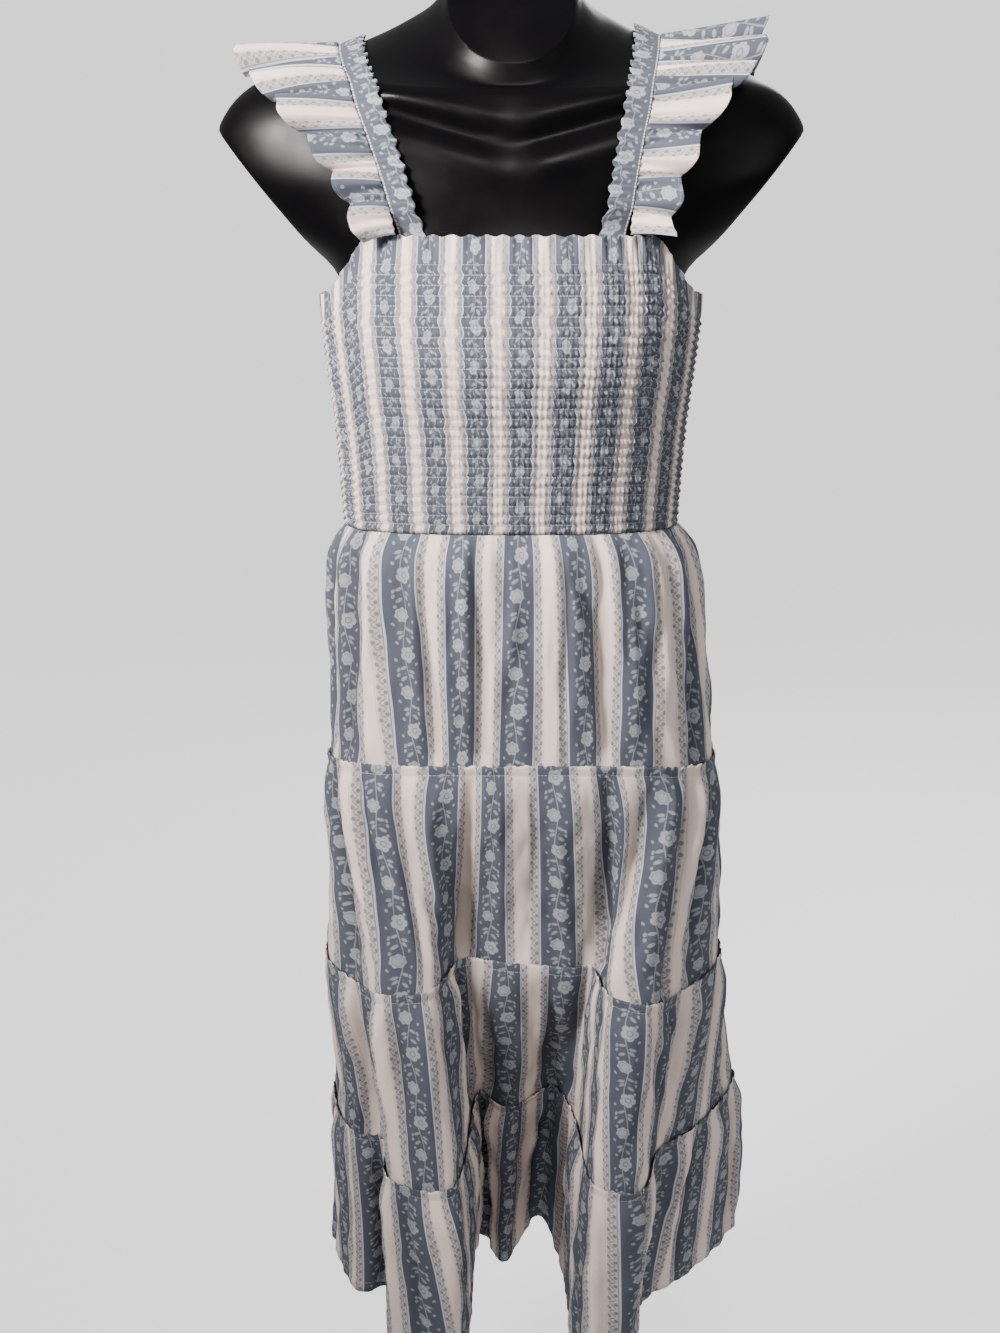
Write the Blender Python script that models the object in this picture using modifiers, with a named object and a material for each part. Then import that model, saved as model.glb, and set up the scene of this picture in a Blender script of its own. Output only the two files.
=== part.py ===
"""A sleeveless tiered midi dress with a smocked bodice, on a limbless torso form with a stand.

Metres, +Z up, the front faces -Y. The origin is on the floor, under the middle of the base plate.
A "turn" runs once round the cloth: 0 at the wearer's right side seam, 0.25 at the front centre,
0.5 at the left side seam and 0.75 at the back centre. A "drop" is measured down from the strap's top.
"""

import math
from collections import namedtuple

import bpy
from mathutils import Vector
from mathutils.bvhtree import BVHTree

# Driving sizes
SHOULDER_Z = 1.360
WALL = 0.0014
SEAM_GAP = 0.0003
LAP_GAP = 0.0008
SIDE_GAP = 0.0005

# Bodice: drops of its top edge and of the waist seam
TOP_DROP_FRONT = 0.147
TOP_DROP_BACK = 0.156
TOP_DROP_SIDE = 0.192
WAIST_DROP = 0.375
BODICE_HEADING = 0.021
SMOCKING_ROWS = 27
SMOCKING_RELIEF = 0.0016
BODICE_WALL = 0.0016
FORM_CLEARANCE = 0.0025
BODICE_COLUMNS = 14

# Skirt: drops of the waist, the three tier seams and the hem, and how much lower each is at the sides
TIER_DROPS = (WAIST_DROP, 0.567, 0.751, 0.926, 1.105)
SIDE_DROOPS = (0.004, 0.016, 0.022, 0.022, 0.010)
SKIRT_LEAN = (0.000, 0.010, 0.012, 0.010, 0.004)
TIER_HEADING = 0.008
TIER_ALLOWANCE = 0.002
SKIRT_COLUMNS = 40
COLUMNS_PER_GATHER = 4

# Straps and their flutter ruffles
STRAP_WIDTH = 0.020
STRAP_CLEARANCE = 0.0012
STRAP_LAP = 0.019
STRAP_STEPS = 36
STRAP_LINES = 3
STRAP_PUCKERS = 12
STRAP_PUCKER_HEIGHT = 0.0008
STRAP_WALL = 0.0014
RUFFLE_WAVES = 11
RUFFLE_STEPS = 66
RUFFLE_LINES = 4

# Torso form and stand
FORM_SIDES = 32
POST_RADIUS = 0.011
POST_X = -0.068
POST_Y = -0.020
BASE_RADIUS = 0.165
BASE_THICKNESS = 0.008
BASE_EDGE = 0.002

Section = namedtuple("Section", "drop half_width front back")
FormSection = namedtuple("FormSection", "drop half_width front back slant")
Fold = namedtuple("Fold", "name knee_x knee_y knee_lift hem_x hem_y hem_lift")

# Outer face of the smocked bodice
BODICE_SECTIONS = (
    Section(0.140, 0.1490, 0.0960, 0.0900),
    Section(0.200, 0.1530, 0.1130, 0.0930),
    Section(0.245, 0.1490, 0.1200, 0.0910),
    Section(0.300, 0.1425, 0.1080, 0.0870),
    Section(WAIST_DROP, 0.1375, 0.0950, 0.0830),
)

# The first tier swells from the waist to the hip
HIP_SECTIONS = (
    Section(WAIST_DROP, 0.1375, 0.0950, 0.0830),
    Section(0.395, 0.1475, 0.1040, 0.0910),
    Section(0.445, 0.1550, 0.1100, 0.0990),
    Section(0.567, 0.1640, 0.1110, 0.1060),
)

# Smooth torso: slanted neck plate, shoulders, chest, waist and hips
FORM_SECTIONS = (
    FormSection(-0.036, 0.0500, 0.0500, 0.0520, 1.10),
    FormSection(-0.020, 0.0570, 0.0510, 0.0580, 0.95),
    FormSection(-0.005, 0.0740, 0.0520, 0.0630, 0.78),
    FormSection(0.004, 0.1020, 0.0540, 0.0650, 0.62),
    FormSection(0.012, 0.1350, 0.0550, 0.0650, 0.48),
    FormSection(0.020, 0.1720, 0.0560, 0.0640, 0.35),
    FormSection(0.032, 0.2040, 0.0600, 0.0660, 0.22),
    FormSection(0.050, 0.2240, 0.0650, 0.0690, 0.12),
    FormSection(0.074, 0.2340, 0.0700, 0.0740, 0.05),
    FormSection(0.106, 0.2260, 0.0780, 0.0790, 0.00),
    FormSection(0.140, 0.1880, 0.0840, 0.0810, 0.00),
    FormSection(0.178, 0.1400, 0.0965, 0.0850, 0.00),
    FormSection(0.245, 0.1400, 0.1130, 0.0830, 0.00),
    FormSection(0.300, 0.1330, 0.1010, 0.0780, 0.00),
    FormSection(0.370, 0.1280, 0.0880, 0.0740, 0.00),
    FormSection(0.425, 0.1330, 0.0880, 0.0790, 0.00),
    FormSection(0.500, 0.1420, 0.0920, 0.0880, 0.00),
    FormSection(0.580, 0.1340, 0.0820, 0.0790, 0.00),
    FormSection(0.595, 0.1180, 0.0640, 0.0620, 0.00),
)

# The flat cut where an arm would start: a point in it, and how far in it runs for each metre down
ARM_CUT_X = 0.226
ARM_CUT_DROP = 0.074
ARM_CUT_SLOPE = 0.82
ARM_CUT_END = 0.180

# Ridges and dips of the skirt, seen from above, at the second seam (knee) and at the hem
FRONT_FOLDS = (
    Fold("right_side", -0.172, -0.010, -0.002, -0.150, 0.012, 0.000),
    Fold("right_dip", -0.142, -0.066, -0.002, -0.116, 0.008, 0.000),
    Fold("right_fold_outer", -0.116, -0.108, 0.000, -0.108, -0.098, 0.000),
    Fold("right_fold_inner", -0.080, -0.112, 0.000, -0.050, -0.124, 0.000),
    Fold("centre_dip_right", -0.052, -0.062, 0.000, -0.034, 0.034, 0.034),
    Fold("centre_rib", -0.010, -0.078, 0.000, -0.010, 0.004, 0.026),
    Fold("centre_dip_left", 0.036, -0.084, 0.000, 0.026, 0.046, 0.046),
    Fold("left_fold_root", 0.058, -0.078, 0.000, 0.046, -0.010, 0.018),
    Fold("left_fold_inner", 0.072, -0.114, -0.004, 0.056, -0.112, 0.000),
    Fold("left_fold_outer", 0.100, -0.120, -0.006, 0.098, -0.116, 0.000),
    Fold("left_dip", 0.128, -0.084, -0.006, 0.118, -0.014, 0.000),
)
BACK_FOLDS = (
    Fold("left_side", 0.170, -0.012, -0.004, 0.164, 0.034, 0.000),
    Fold("back_corner_left", 0.166, 0.068, -0.004, 0.224, 0.124, 0.000),
    Fold("back_dip_1", 0.124, 0.092, -0.005, 0.164, 0.098, 0.000),
    Fold("back_ridge_1", 0.085, 0.112, 0.000, 0.114, 0.138, 0.000),
    Fold("back_dip_2", 0.045, 0.100, 0.000, 0.066, 0.102, 0.000),
    Fold("back_ridge_2", 0.004, 0.114, 0.000, 0.012, 0.140, 0.000),
    Fold("back_dip_3", -0.040, 0.100, 0.000, -0.044, 0.102, 0.000),
    Fold("back_ridge_3", -0.085, 0.111, 0.000, -0.098, 0.137, 0.000),
    Fold("back_dip_4", -0.126, 0.089, -0.003, -0.138, 0.106, 0.000),
    Fold("back_corner_right", -0.164, 0.058, -0.006, -0.180, 0.124, 0.000),
)
FOLDS = FRONT_FOLDS + BACK_FOLDS
CLOTH_ROUNDNESS = 2.25
FORM_ROUNDNESS = 2.15

# How far gathers stand out of the cloth, by the share of the tier's height below its stitching
Gather = namedtuple("Gather", "share height")
GATHERS = (
    Gather(0.00, 0.0010),
    Gather(0.14, 0.0064),
    Gather(0.42, 0.0044),
    Gather(0.72, 0.0020),
    Gather(1.00, 0.0000),
)
HEADING_GATHER = 0.0026

# Strap's inner edge: its distance from the centre line
STRAP_CENTRE_DROP = 0.115
RUFFLE_WAVE_HEIGHT = 0.0078
RUFFLE_WAVE_LEAN = 0.0040
RUFFLE_EDGE_STEP = 0.0022
RUFFLE_CLEARANCE = 0.0020
RUFFLE_END_RADIUS = 0.087

# Neck edge of each strap: its distance from the centre line, by its share of the way from front to back.
StrapLine = namedtuple("StrapLine", "share right left")
STRAP_PATH = (
    StrapLine(0.00, 0.064, 0.067),
    StrapLine(0.22, 0.086, 0.079),
    StrapLine(0.34, 0.100, 0.087),
    StrapLine(0.52, 0.116, 0.097),
    StrapLine(0.66, 0.114, 0.100),
    StrapLine(0.82, 0.095, 0.089),
    StrapLine(1.00, 0.072, 0.074),
)

# Ruffles: width out from the strap, and how far the free edge falls below level (less than 0 is raised).
RuffleLine = namedtuple("RuffleLine", "share right_width right_fall left_width left_fall")
RUFFLE_PATH = (
    RuffleLine(0.00, 0.028, 0.006, 0.032, 0.004),
    RuffleLine(0.10, 0.034, 0.003, 0.034, 0.002),
    RuffleLine(0.18, 0.041, 0.002, 0.040, 0.000),
    RuffleLine(0.26, 0.054, 0.001, 0.049, -0.001),
    RuffleLine(0.33, 0.061, 0.006, 0.062, -0.001),
    RuffleLine(0.40, 0.070, 0.014, 0.074, 0.006),
    RuffleLine(0.47, 0.080, 0.011, 0.086, 0.000),
    RuffleLine(0.54, 0.084, 0.008, 0.090, -0.009),
    RuffleLine(0.62, 0.080, 0.014, 0.084, 0.000),
    RuffleLine(0.74, 0.062, 0.014, 0.066, 0.010),
    RuffleLine(0.86, 0.044, 0.008, 0.046, 0.008),
    RuffleLine(1.00, 0.030, 0.006, 0.032, 0.006),
)


def ease(x):
    """Smooth step from 0 to 1."""
    x = min(1.0, max(0.0, x))
    return x * x * (3.0 - 2.0 * x)


def mix(a, b, share):
    return a + (b - a) * share


def hermite(p0, p1, m0, m1, t):
    """Cubic from p0 to p1 with end slopes m0 and m1, each for t from 0 to 1."""
    t2 = t * t
    t3 = t2 * t
    return (2 * t3 - 3 * t2 + 1) * p0 + (t3 - 2 * t2 + t) * m0 + (3 * t2 - 2 * t3) * p1 + (t3 - t2) * m1


def along(keys, values, at):
    """Smooth curve through values given at rising keys, held at its ends."""
    if at <= keys[0]:
        return values[0]
    if at >= keys[-1]:
        return values[-1]
    i = max(k for k in range(len(keys) - 1) if keys[k] <= at)
    span = keys[i + 1] - keys[i]

    def slope(k):
        low = max(0, k - 1)
        high = min(len(keys) - 1, k + 1)
        return (values[high] - values[low]) * (span / (keys[high] - keys[low]))

    return hermite(values[i], values[i + 1], slope(i), slope(i + 1), (at - keys[i]) / span)


def section_at(sections, drop):
    drops = [s.drop for s in sections]
    return Section(drop, *(along(drops, [s[c] for s in sections], drop) for c in (1, 2, 3)))


def side_droop(turn, drop):
    """How much lower the cloth's levels run at the sides than at the front and back."""
    return along(TIER_DROPS, SIDE_DROOPS, drop) * math.cos(2.0 * math.pi * turn) ** 2


def oval_point(section, turn, roundness):
    """Point of a section's rounded oval, whose front and back are of unlike depth."""
    angle = 2.0 * math.pi * turn
    c = math.cos(angle)
    s = math.sin(angle)
    power = 2.0 / roundness
    depth = section.front if s > 0 else section.back
    x = -section.half_width * math.copysign(abs(c) ** power, c)
    y = -depth * math.copysign(abs(s) ** power, s)
    return Vector((x, y))


def fold_turns():
    """Each fold key's turn: by the cloth's length between keys, with the side seams at 0 and 0.5."""
    def length(a, b):
        at_knee = math.hypot(a.knee_x - b.knee_x, a.knee_y - b.knee_y)
        at_hem = math.hypot(a.hem_x - b.hem_x, a.hem_y - b.hem_y)
        return at_knee + at_hem

    turns = []
    for start, keys in ((0.0, FRONT_FOLDS + BACK_FOLDS[:1]), (0.5, BACK_FOLDS + FRONT_FOLDS[:1])):
        steps = [length(a, b) for a, b in zip(keys, keys[1:])]
        turns += [start + 0.5 * sum(steps[:i]) / sum(steps) for i in range(len(steps))]
    return turns


FOLD_TURNS = fold_turns()


def around(values, turn):
    """Smooth closed curve through one value for each fold key."""
    turn %= 1.0
    n = len(FOLD_TURNS)
    i = max(k for k in range(n) if FOLD_TURNS[k] <= turn + 1e-12)

    def key_turn(k):
        return FOLD_TURNS[k % n] + k // n

    span = key_turn(i + 1) - key_turn(i)

    def slope(k):
        return (values[(k + 1) % n] - values[(k - 1) % n]) * (span / (key_turn(k + 1) - key_turn(k - 1)))

    return hermite(values[i], values[(i + 1) % n], slope(i), slope(i + 1), (turn - key_turn(i)) / span)


def skirt_point(turn, drop):
    """Outer face of the plain skirt, with its large folds but without its gathers."""
    hip = oval_point(section_at(HIP_SECTIONS, drop), turn, CLOTH_ROUNDNESS)
    knee = Vector((around([f.knee_x for f in FOLDS], turn), around([f.knee_y for f in FOLDS], turn)))
    hem = Vector((around([f.hem_x for f in FOLDS], turn), around([f.hem_y for f in FOLDS], turn)))
    hip_drop, knee_drop, hem_drop = TIER_DROPS[1], TIER_DROPS[2], TIER_DROPS[4]
    if drop <= hip_drop:
        flat = hip
    elif drop <= knee_drop:
        flat = hip.lerp(knee, ease((drop - hip_drop) / (knee_drop - hip_drop)))
    else:
        flat = knee.lerp(hem, math.sin(0.5 * math.pi * (drop - knee_drop) / (hem_drop - knee_drop)))
    knee_share = ease((drop - WAIST_DROP) / (knee_drop - WAIST_DROP))
    hem_share = ease((drop - knee_drop) / (hem_drop - knee_drop))
    lift = mix(around([f.knee_lift for f in FOLDS], turn), around([f.hem_lift for f in FOLDS], turn), hem_share)
    lean = along(TIER_DROPS, SKIRT_LEAN, drop)
    return Vector((flat.x + lean, flat.y, SHOULDER_Z - drop - side_droop(turn, drop) + lift * knee_share))


def bodice_top_drop(turn):
    sideways = abs(math.cos(2.0 * math.pi * turn))
    centre = TOP_DROP_FRONT if 0.0 <= turn % 1.0 <= 0.5 else TOP_DROP_BACK
    return mix(centre, TOP_DROP_SIDE, ease((sideways - 0.68) / 0.30))


def bodice_point(turn, drop):
    flat = oval_point(section_at(BODICE_SECTIONS, drop), turn, CLOTH_ROUNDNESS)
    return Vector((flat.x, flat.y, SHOULDER_Z - drop))


def bodice_outward(turn, drop):
    step = 0.004
    tangent = bodice_point(turn + step, drop) - bodice_point(turn - step, drop)
    return Vector((tangent.y, -tangent.x, 0.0)).normalized()


def lift_off(tree, point, out, gap):
    """The point, moved along out where it would lie closer than gap to what it rests on."""
    hit, _, _, _ = tree.ray_cast(point + out * 0.25, -out)
    if hit is None or (point - hit).dot(out) >= gap:
        return point
    return hit + out * gap


def clear_scene():
    for obj in list(bpy.data.objects):
        bpy.data.objects.remove(obj)


def make_collection(name):
    collection = bpy.data.collections.new(name)
    bpy.context.scene.collection.children.link(collection)
    return collection


def make_material(name, colour, roughness, metallic=0.0):
    material = bpy.data.materials.new(name)
    material.use_nodes = True
    shader = material.node_tree.nodes["Principled BSDF"]
    shader.inputs["Base Color"].default_value = (*colour, 1.0)
    shader.inputs["Roughness"].default_value = roughness
    shader.inputs["Metallic"].default_value = metallic
    return material


def add_object(name, points, faces, material, collection, smooth_angle=50.0):
    mesh = bpy.data.meshes.new(name)
    mesh.from_pydata([tuple(p) for p in points], [], faces)
    mesh.materials.append(material)
    mesh.shade_smooth()
    mesh.set_sharp_from_angle(angle=math.radians(smooth_angle))
    obj = bpy.data.objects.new(name, mesh)
    collection.objects.link(obj)
    return obj


def grid_faces(rows, columns, start=0):
    """Faces of a grid of points, rows from top to bottom, that face out of a ring run in turn order."""
    faces = []
    for r in range(rows - 1):
        for c in range(columns - 1):
            a = start + r * columns + c
            faces.append((a, a + columns, a + columns + 1, a + 1))
    return faces


def facing(rows, r, c):
    """Way out of a grid of points, the stretch a corner there needs, and how sharply it is hollow."""
    above = rows[max(0, r - 1)][c]
    below = rows[min(len(rows) - 1, r + 1)][c]
    before = (rows[r][c] - rows[r][c - 1]).normalized()
    after = (rows[r][c + 1] - rows[r][c]).normalized()
    normal = (below - above).cross(before + after).normalized()
    half = math.sqrt(max(0.0, (1.0 + before.dot(after)) / 2.0))
    return normal, min(1.7, 1.0 / max(0.3, half)), max(0.0, (after - before).dot(normal))


def wall_faces(rows, columns):
    """Faces of a closed wall: outer points first, then as many inner points."""
    inner = rows * columns
    faces = grid_faces(rows, columns)
    faces += [tuple(reversed(f)) for f in grid_faces(rows, columns, inner)]
    last = (rows - 1) * columns
    for c in range(columns - 1):
        faces.append((c, c + 1, inner + c + 1, inner + c))
        faces.append((last + c + 1, last + c, inner + last + c, inner + last + c + 1))
    for r in range(rows - 1):
        a = r * columns
        b = a + columns - 1
        faces.append((a + columns, a, inner + a, inner + a + columns))
        faces.append((b, b + columns, inner + b + columns, inner + b))
    return faces


def add_wall(name, rows, thickness, material, collection):
    """Closed wall under rows of points that run one column past each side of the piece."""
    outer = []
    inner = []
    for r, row in enumerate(rows):
        for c in range(1, len(row) - 1):
            out, stretch, _ = facing(rows, r, c)
            outer.append(row[c])
            inner.append(row[c] - out * (thickness * stretch))
    return add_object(name, outer + inner, wall_faces(len(rows), len(rows[0]) - 2), material, collection)


def with_margins(line):
    """The line's points, and one more past each end."""
    return [line[0] * 2.0 - line[1]] + line + [line[-1] * 2.0 - line[-2]]


Level = namedtuple("Level", "drop gather share")


def tier_levels(tier):
    """Rows of a tier from its top to its bottom, without the heading."""
    top = TIER_DROPS[tier]
    bottom = TIER_DROPS[tier + 1]
    last_tier = tier == len(TIER_DROPS) - 2
    levels = [Level(mix(top, bottom, g.share), g.height, g.share) for g in GATHERS]
    levels[-1] = Level(bottom if last_tier else bottom + TIER_ALLOWANCE, 0.0, 1.0)
    if tier == 0:
        levels[0] = Level(top + SEAM_GAP, levels[0].gather, 0.0)
    return levels


def hanging_point(tier, turn, drop):
    """Where the tier above hangs at this drop, between its last two rows."""
    upper, lower = tier_levels(tier - 1)[-2:]
    share = (drop - upper.drop) / (lower.drop - upper.drop)
    return skirt_point(turn, upper.drop).lerp(skirt_point(turn, lower.drop), share)


def tier_panel(name, tier, first_turn, material, collection):
    """Half a tier, from one side seam to the other, gathered and lapped over the tier above."""
    levels = tier_levels(tier)
    if tier > 0:
        levels.insert(0, Level(TIER_DROPS[tier] - TIER_HEADING, HEADING_GATHER, 0.0))
    columns = range(-2, SKIRT_COLUMNS + 3)
    turns = [first_turn + mix(SIDE_GAP, 0.5 - SIDE_GAP, c / SKIRT_COLUMNS) for c in columns]
    plain = []
    for level in levels:
        lapped = tier > 0 and level.share == 0.0
        plain.append([hanging_point(tier, t, level.drop) if lapped else skirt_point(t, level.drop) for t in turns])
    rows = []
    for r, level in enumerate(levels):
        lap = (LAP_GAP + WALL) * (1.0 - ease(level.share)) if tier > 0 else 0.0
        row = []
        for c in range(1, len(turns) - 1):
            out, stretch, hollow = facing(plain, r, c)
            wave = 0.5 - 0.5 * math.cos(2.0 * math.pi * columns[c] / COLUMNS_PER_GATHER)
            standing = level.gather * wave * max(0.0, 1.0 - 3.0 * hollow)
            row.append(plain[r][c] + out * (lap * stretch + standing))
        rows.append(row)
    return add_wall(name, rows, WALL, material, collection)


def bodice_panel(name, tree, first_turn, material, collection):
    """Half the bodice: smocking ribs stand on its outer face over a plain inside."""
    columns = BODICE_COLUMNS + 1
    turns = [first_turn + mix(SIDE_GAP, 0.5 - SIDE_GAP, c / BODICE_COLUMNS) for c in range(columns)]
    def rib_rows():
        yield 0.0, 0.0, 0.0012
        yield 1.0, 0.0, 0.0
        for rib in range(SMOCKING_ROWS):
            yield 1.0, (rib + 0.5) / SMOCKING_ROWS, SMOCKING_RELIEF
            yield 1.0, (rib + 1.0) / SMOCKING_ROWS, 0.0

    def drop_at(turn, past_heading, share):
        top = bodice_top_drop(turn)
        return mix(top + BODICE_HEADING * past_heading, WAIST_DROP + side_droop(turn, WAIST_DROP), share)

    def face_point(turn, past_heading, share, height):
        drop = drop_at(turn, past_heading, share)
        out = bodice_outward(turn, drop)
        return lift_off(tree, bodice_point(turn, drop), out, BODICE_WALL + FORM_CLEARANCE) + out * height

    outer = []
    for past_heading, share, relief in rib_rows():
        outer += [face_point(t, past_heading, share, relief) for t in turns]
    inner_shares = [(0.0, 0.0)] + [(1.0, k / 9) for k in range(10)]
    inner = []
    for past_heading, share in inner_shares:
        inner += [face_point(t, past_heading, share, -BODICE_WALL) for t in turns]
    outer_rows = len(outer) // columns
    inner_rows = len(inner) // columns
    start = len(outer)
    faces = grid_faces(outer_rows, columns)
    faces += [tuple(reversed(f)) for f in grid_faces(inner_rows, columns, start)]
    last_outer = (outer_rows - 1) * columns
    last_inner = start + (inner_rows - 1) * columns
    for c in range(columns - 1):
        faces.append((c, c + 1, start + c + 1, start + c))
        faces.append((last_outer + c + 1, last_outer + c, last_inner + c, last_inner + c + 1))
    for side, flip in ((0, False), (columns - 1, True)):
        down = [r * columns + side for r in range(outer_rows)]
        up = [start + r * columns + side for r in reversed(range(inner_rows))]
        rim = side_strip(down, up[::-1], outer_rows, inner_rows)
        faces += [tuple(reversed(f)) for f in rim] if flip else rim
    return add_object(name, outer + inner, faces, material, collection)


def side_strip(outer_edge, inner_edge, outer_rows, inner_rows):
    """Triangles between a finely and a coarsely stepped edge, both from top to bottom."""
    faces = []
    i = 0
    for o in range(outer_rows - 1):
        while i < inner_rows - 1 and (i + 0.5) / (inner_rows - 1) < o / (outer_rows - 1):
            faces.append((outer_edge[o], inner_edge[i], inner_edge[i + 1]))
            i += 1
        faces.append((outer_edge[o], inner_edge[i], outer_edge[o + 1]))
    while i < inner_rows - 1:
        faces.append((outer_edge[-1], inner_edge[i], inner_edge[i + 1]))
        i += 1
    return faces


def strap_inner_x(side, angle):
    """Distance of a strap's inner edge from the centre line, by the angle round the shoulder."""
    share = (angle + 0.5) / (math.pi + 1.0)
    return along([line.share for line in STRAP_PATH], [line.right if side < 0 else line.left for line in STRAP_PATH], share)


def taut_line(tree, side, across, angles):
    """Points of a tape pulled tight over what tree holds, in a curved plane beside the neck."""
    centre = Vector((0.0, 0.0, SHOULDER_Z - STRAP_CENTRE_DROP))
    found = []
    for angle in angles:
        x = side * (strap_inner_x(side, angle) + across)
        out = Vector((0.0, -math.cos(angle), math.sin(angle)))
        radius = 0.0
        for beside in (-STRAP_WIDTH / 4.0, 0.0, STRAP_WIDTH / 4.0):
            level = Vector((x + beside, 0.0, 0.0)) + centre
            hit, _, _, _ = tree.ray_cast(level + out * 0.5, -out)
            radius = max(radius, (hit - level).length)
        found.append((radius, out, x))
    hull = []
    for i, (radius, out, _) in enumerate(found):
        point = out * radius
        while len(hull) > 1 and (hull[-1][1] - hull[-2][1]).cross(point - hull[-1][1]).x > 0.0:
            hull.pop()
        hull.append((i, point))
    line = []
    for i, (_, out, x) in enumerate(found):
        after = next(k for k in range(1, len(hull)) if hull[k][0] >= i) if i else 1
        a = hull[after - 1][1]
        b = hull[after][1]
        across_line = Vector((0.0, (b - a).z, -(b - a).y))
        point = out * (a.dot(across_line) / out.dot(across_line))
        line.append(centre + Vector((x, 0.0, 0.0)) + point)
    return line


def strap_frames(tree, side):
    """Rows of strap points from the front band to the back band, and the way out of each row."""
    first = -math.asin((TOP_DROP_FRONT + STRAP_LAP - STRAP_CENTRE_DROP) / 0.11)
    last = math.pi + math.asin((TOP_DROP_BACK + STRAP_LAP - STRAP_CENTRE_DROP) / 0.10)
    fine = [mix(first, last, k / (2 * STRAP_STEPS)) for k in range(2 * STRAP_STEPS + 1)]
    lines = [taut_line(tree, side, STRAP_WIDTH * k / (STRAP_LINES - 1), fine)[::2] for k in range(STRAP_LINES)]
    angles = fine[::2]
    outs = []
    for k in range(STRAP_STEPS + 1):
        low = max(0, k - 1)
        high = min(STRAP_STEPS, k + 1)
        run = lines[1][high] - lines[1][low]
        lean = lines[-1][k] - lines[0][k]
        out = lean.cross(run) * side
        outs.append(out.normalized())
    return angles, lines, outs


def strap(name, tree, side, material, collection):
    """Gathered tape over one shoulder. Its inner edge is puckered."""
    _, lines, outs = strap_frames(tree, side)
    rows = []
    for j, line in enumerate(lines):
        pucker = STRAP_PUCKER_HEIGHT * (1.0 - j / (STRAP_LINES - 1))
        wave = [0.5 - 0.5 * math.cos(2.0 * math.pi * STRAP_PUCKERS * k / STRAP_STEPS) for k in range(len(line))]
        rows.append([p + o * (STRAP_CLEARANCE + STRAP_WALL + pucker * w) for p, o, w in zip(line, outs, wave)])
    if side < 0:
        rows.reverse()
    return add_wall(name, [with_margins(row) for row in rows], STRAP_WALL, material, collection)


def flute_phase(share, side):
    """Angle of a ruffle's waves, which are unlike in width along it."""
    turns = RUFFLE_WAVES * share + 0.22 * math.sin(2.0 * math.pi * (1.7 * share + 0.1 * side)) + 0.1 * side
    return 2.0 * math.pi * turns


def ruffle(name, tree, side, material, collection):
    """Flutter ruffle on a strap's outer edge, widest at the shoulder, with a waved free edge."""
    angles, lines, outs = strap_frames(tree, side)
    first = -math.asin((TOP_DROP_FRONT - 0.002 - STRAP_CENTRE_DROP) / RUFFLE_END_RADIUS)
    last = math.pi + math.asin((TOP_DROP_BACK - 0.004 - STRAP_CENTRE_DROP) / RUFFLE_END_RADIUS)
    shares = [line.share for line in RUFFLE_PATH]
    widths = [line.right_width if side < 0 else line.left_width for line in RUFFLE_PATH]
    falls = [line.right_fall if side < 0 else line.left_fall for line in RUFFLE_PATH]
    rows = [[] for _ in range(RUFFLE_LINES)]
    for k in range(RUFFLE_STEPS + 1):
        share = k / RUFFLE_STEPS
        angle = mix(first, last, share)
        root = Vector([along(angles, [p[c] for p in lines[-1]], angle) for c in range(3)])
        out = Vector([along(angles, [o[c] for o in outs], angle) for c in range(3)]).normalized()
        sideways = Vector((side, 0.0, 0.0))
        run = sideways.cross(out) * side
        phase = flute_phase(share, side)
        tall = mix(0.55, 1.0, math.sin(math.pi * share))
        width = along(shares, widths, share) + RUFFLE_EDGE_STEP * math.sin(phase + 0.7)
        fall = along(shares, falls, share)
        aim = (sideways + out * mix(0.28, 0.10, math.sin(math.pi * share))).normalized()
        for j in range(RUFFLE_LINES):
            reach = j / (RUFFLE_LINES - 1)
            point = root + sideways * 0.0005 + out * (STRAP_CLEARANCE + STRAP_WALL) + aim * (width * reach)
            point += out * (RUFFLE_WAVE_HEIGHT * tall * math.sin(phase) * reach)
            point += run * (RUFFLE_WAVE_LEAN * tall * math.cos(phase) * reach)
            point.z -= fall * reach * reach
            rows[j].append(lift_off(tree, point, out, WALL + RUFFLE_CLEARANCE))
    if side < 0:
        rows.reverse()
    return add_wall(name, [with_margins(row) for row in rows], WALL, material, collection)


def within_arm_cut(x, drop):
    """The form's x at a drop, held inside the flat cuts where the arms would start."""
    limit = ARM_CUT_X - ARM_CUT_SLOPE * (drop - ARM_CUT_DROP)
    return math.copysign(min(abs(x), limit), x)


def torso_form(material, collection):
    """Smooth closed torso from the slanted neck plate to the flat underside of the hips."""
    points = []
    for section in FORM_SECTIONS:
        for k in range(FORM_SIDES):
            flat = oval_point(section, k / FORM_SIDES, FORM_ROUNDNESS)
            drop = section.drop - section.slant * flat.y
            x = within_arm_cut(flat.x, drop) if drop < ARM_CUT_END else flat.x
            points.append((x, flat.y, SHOULDER_Z - drop))
    faces = []
    for r in range(len(FORM_SECTIONS) - 1):
        for k in range(FORM_SIDES):
            a = r * FORM_SIDES + k
            b = r * FORM_SIDES + (k + 1) % FORM_SIDES
            faces.append((a, a + FORM_SIDES, b + FORM_SIDES, b))
    faces.append(tuple(range(FORM_SIDES)))
    faces.append(tuple(reversed(range((len(FORM_SECTIONS) - 1) * FORM_SIDES, len(points)))))
    return add_object("torso_form", points, faces, material, collection, 50.0)


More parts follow.
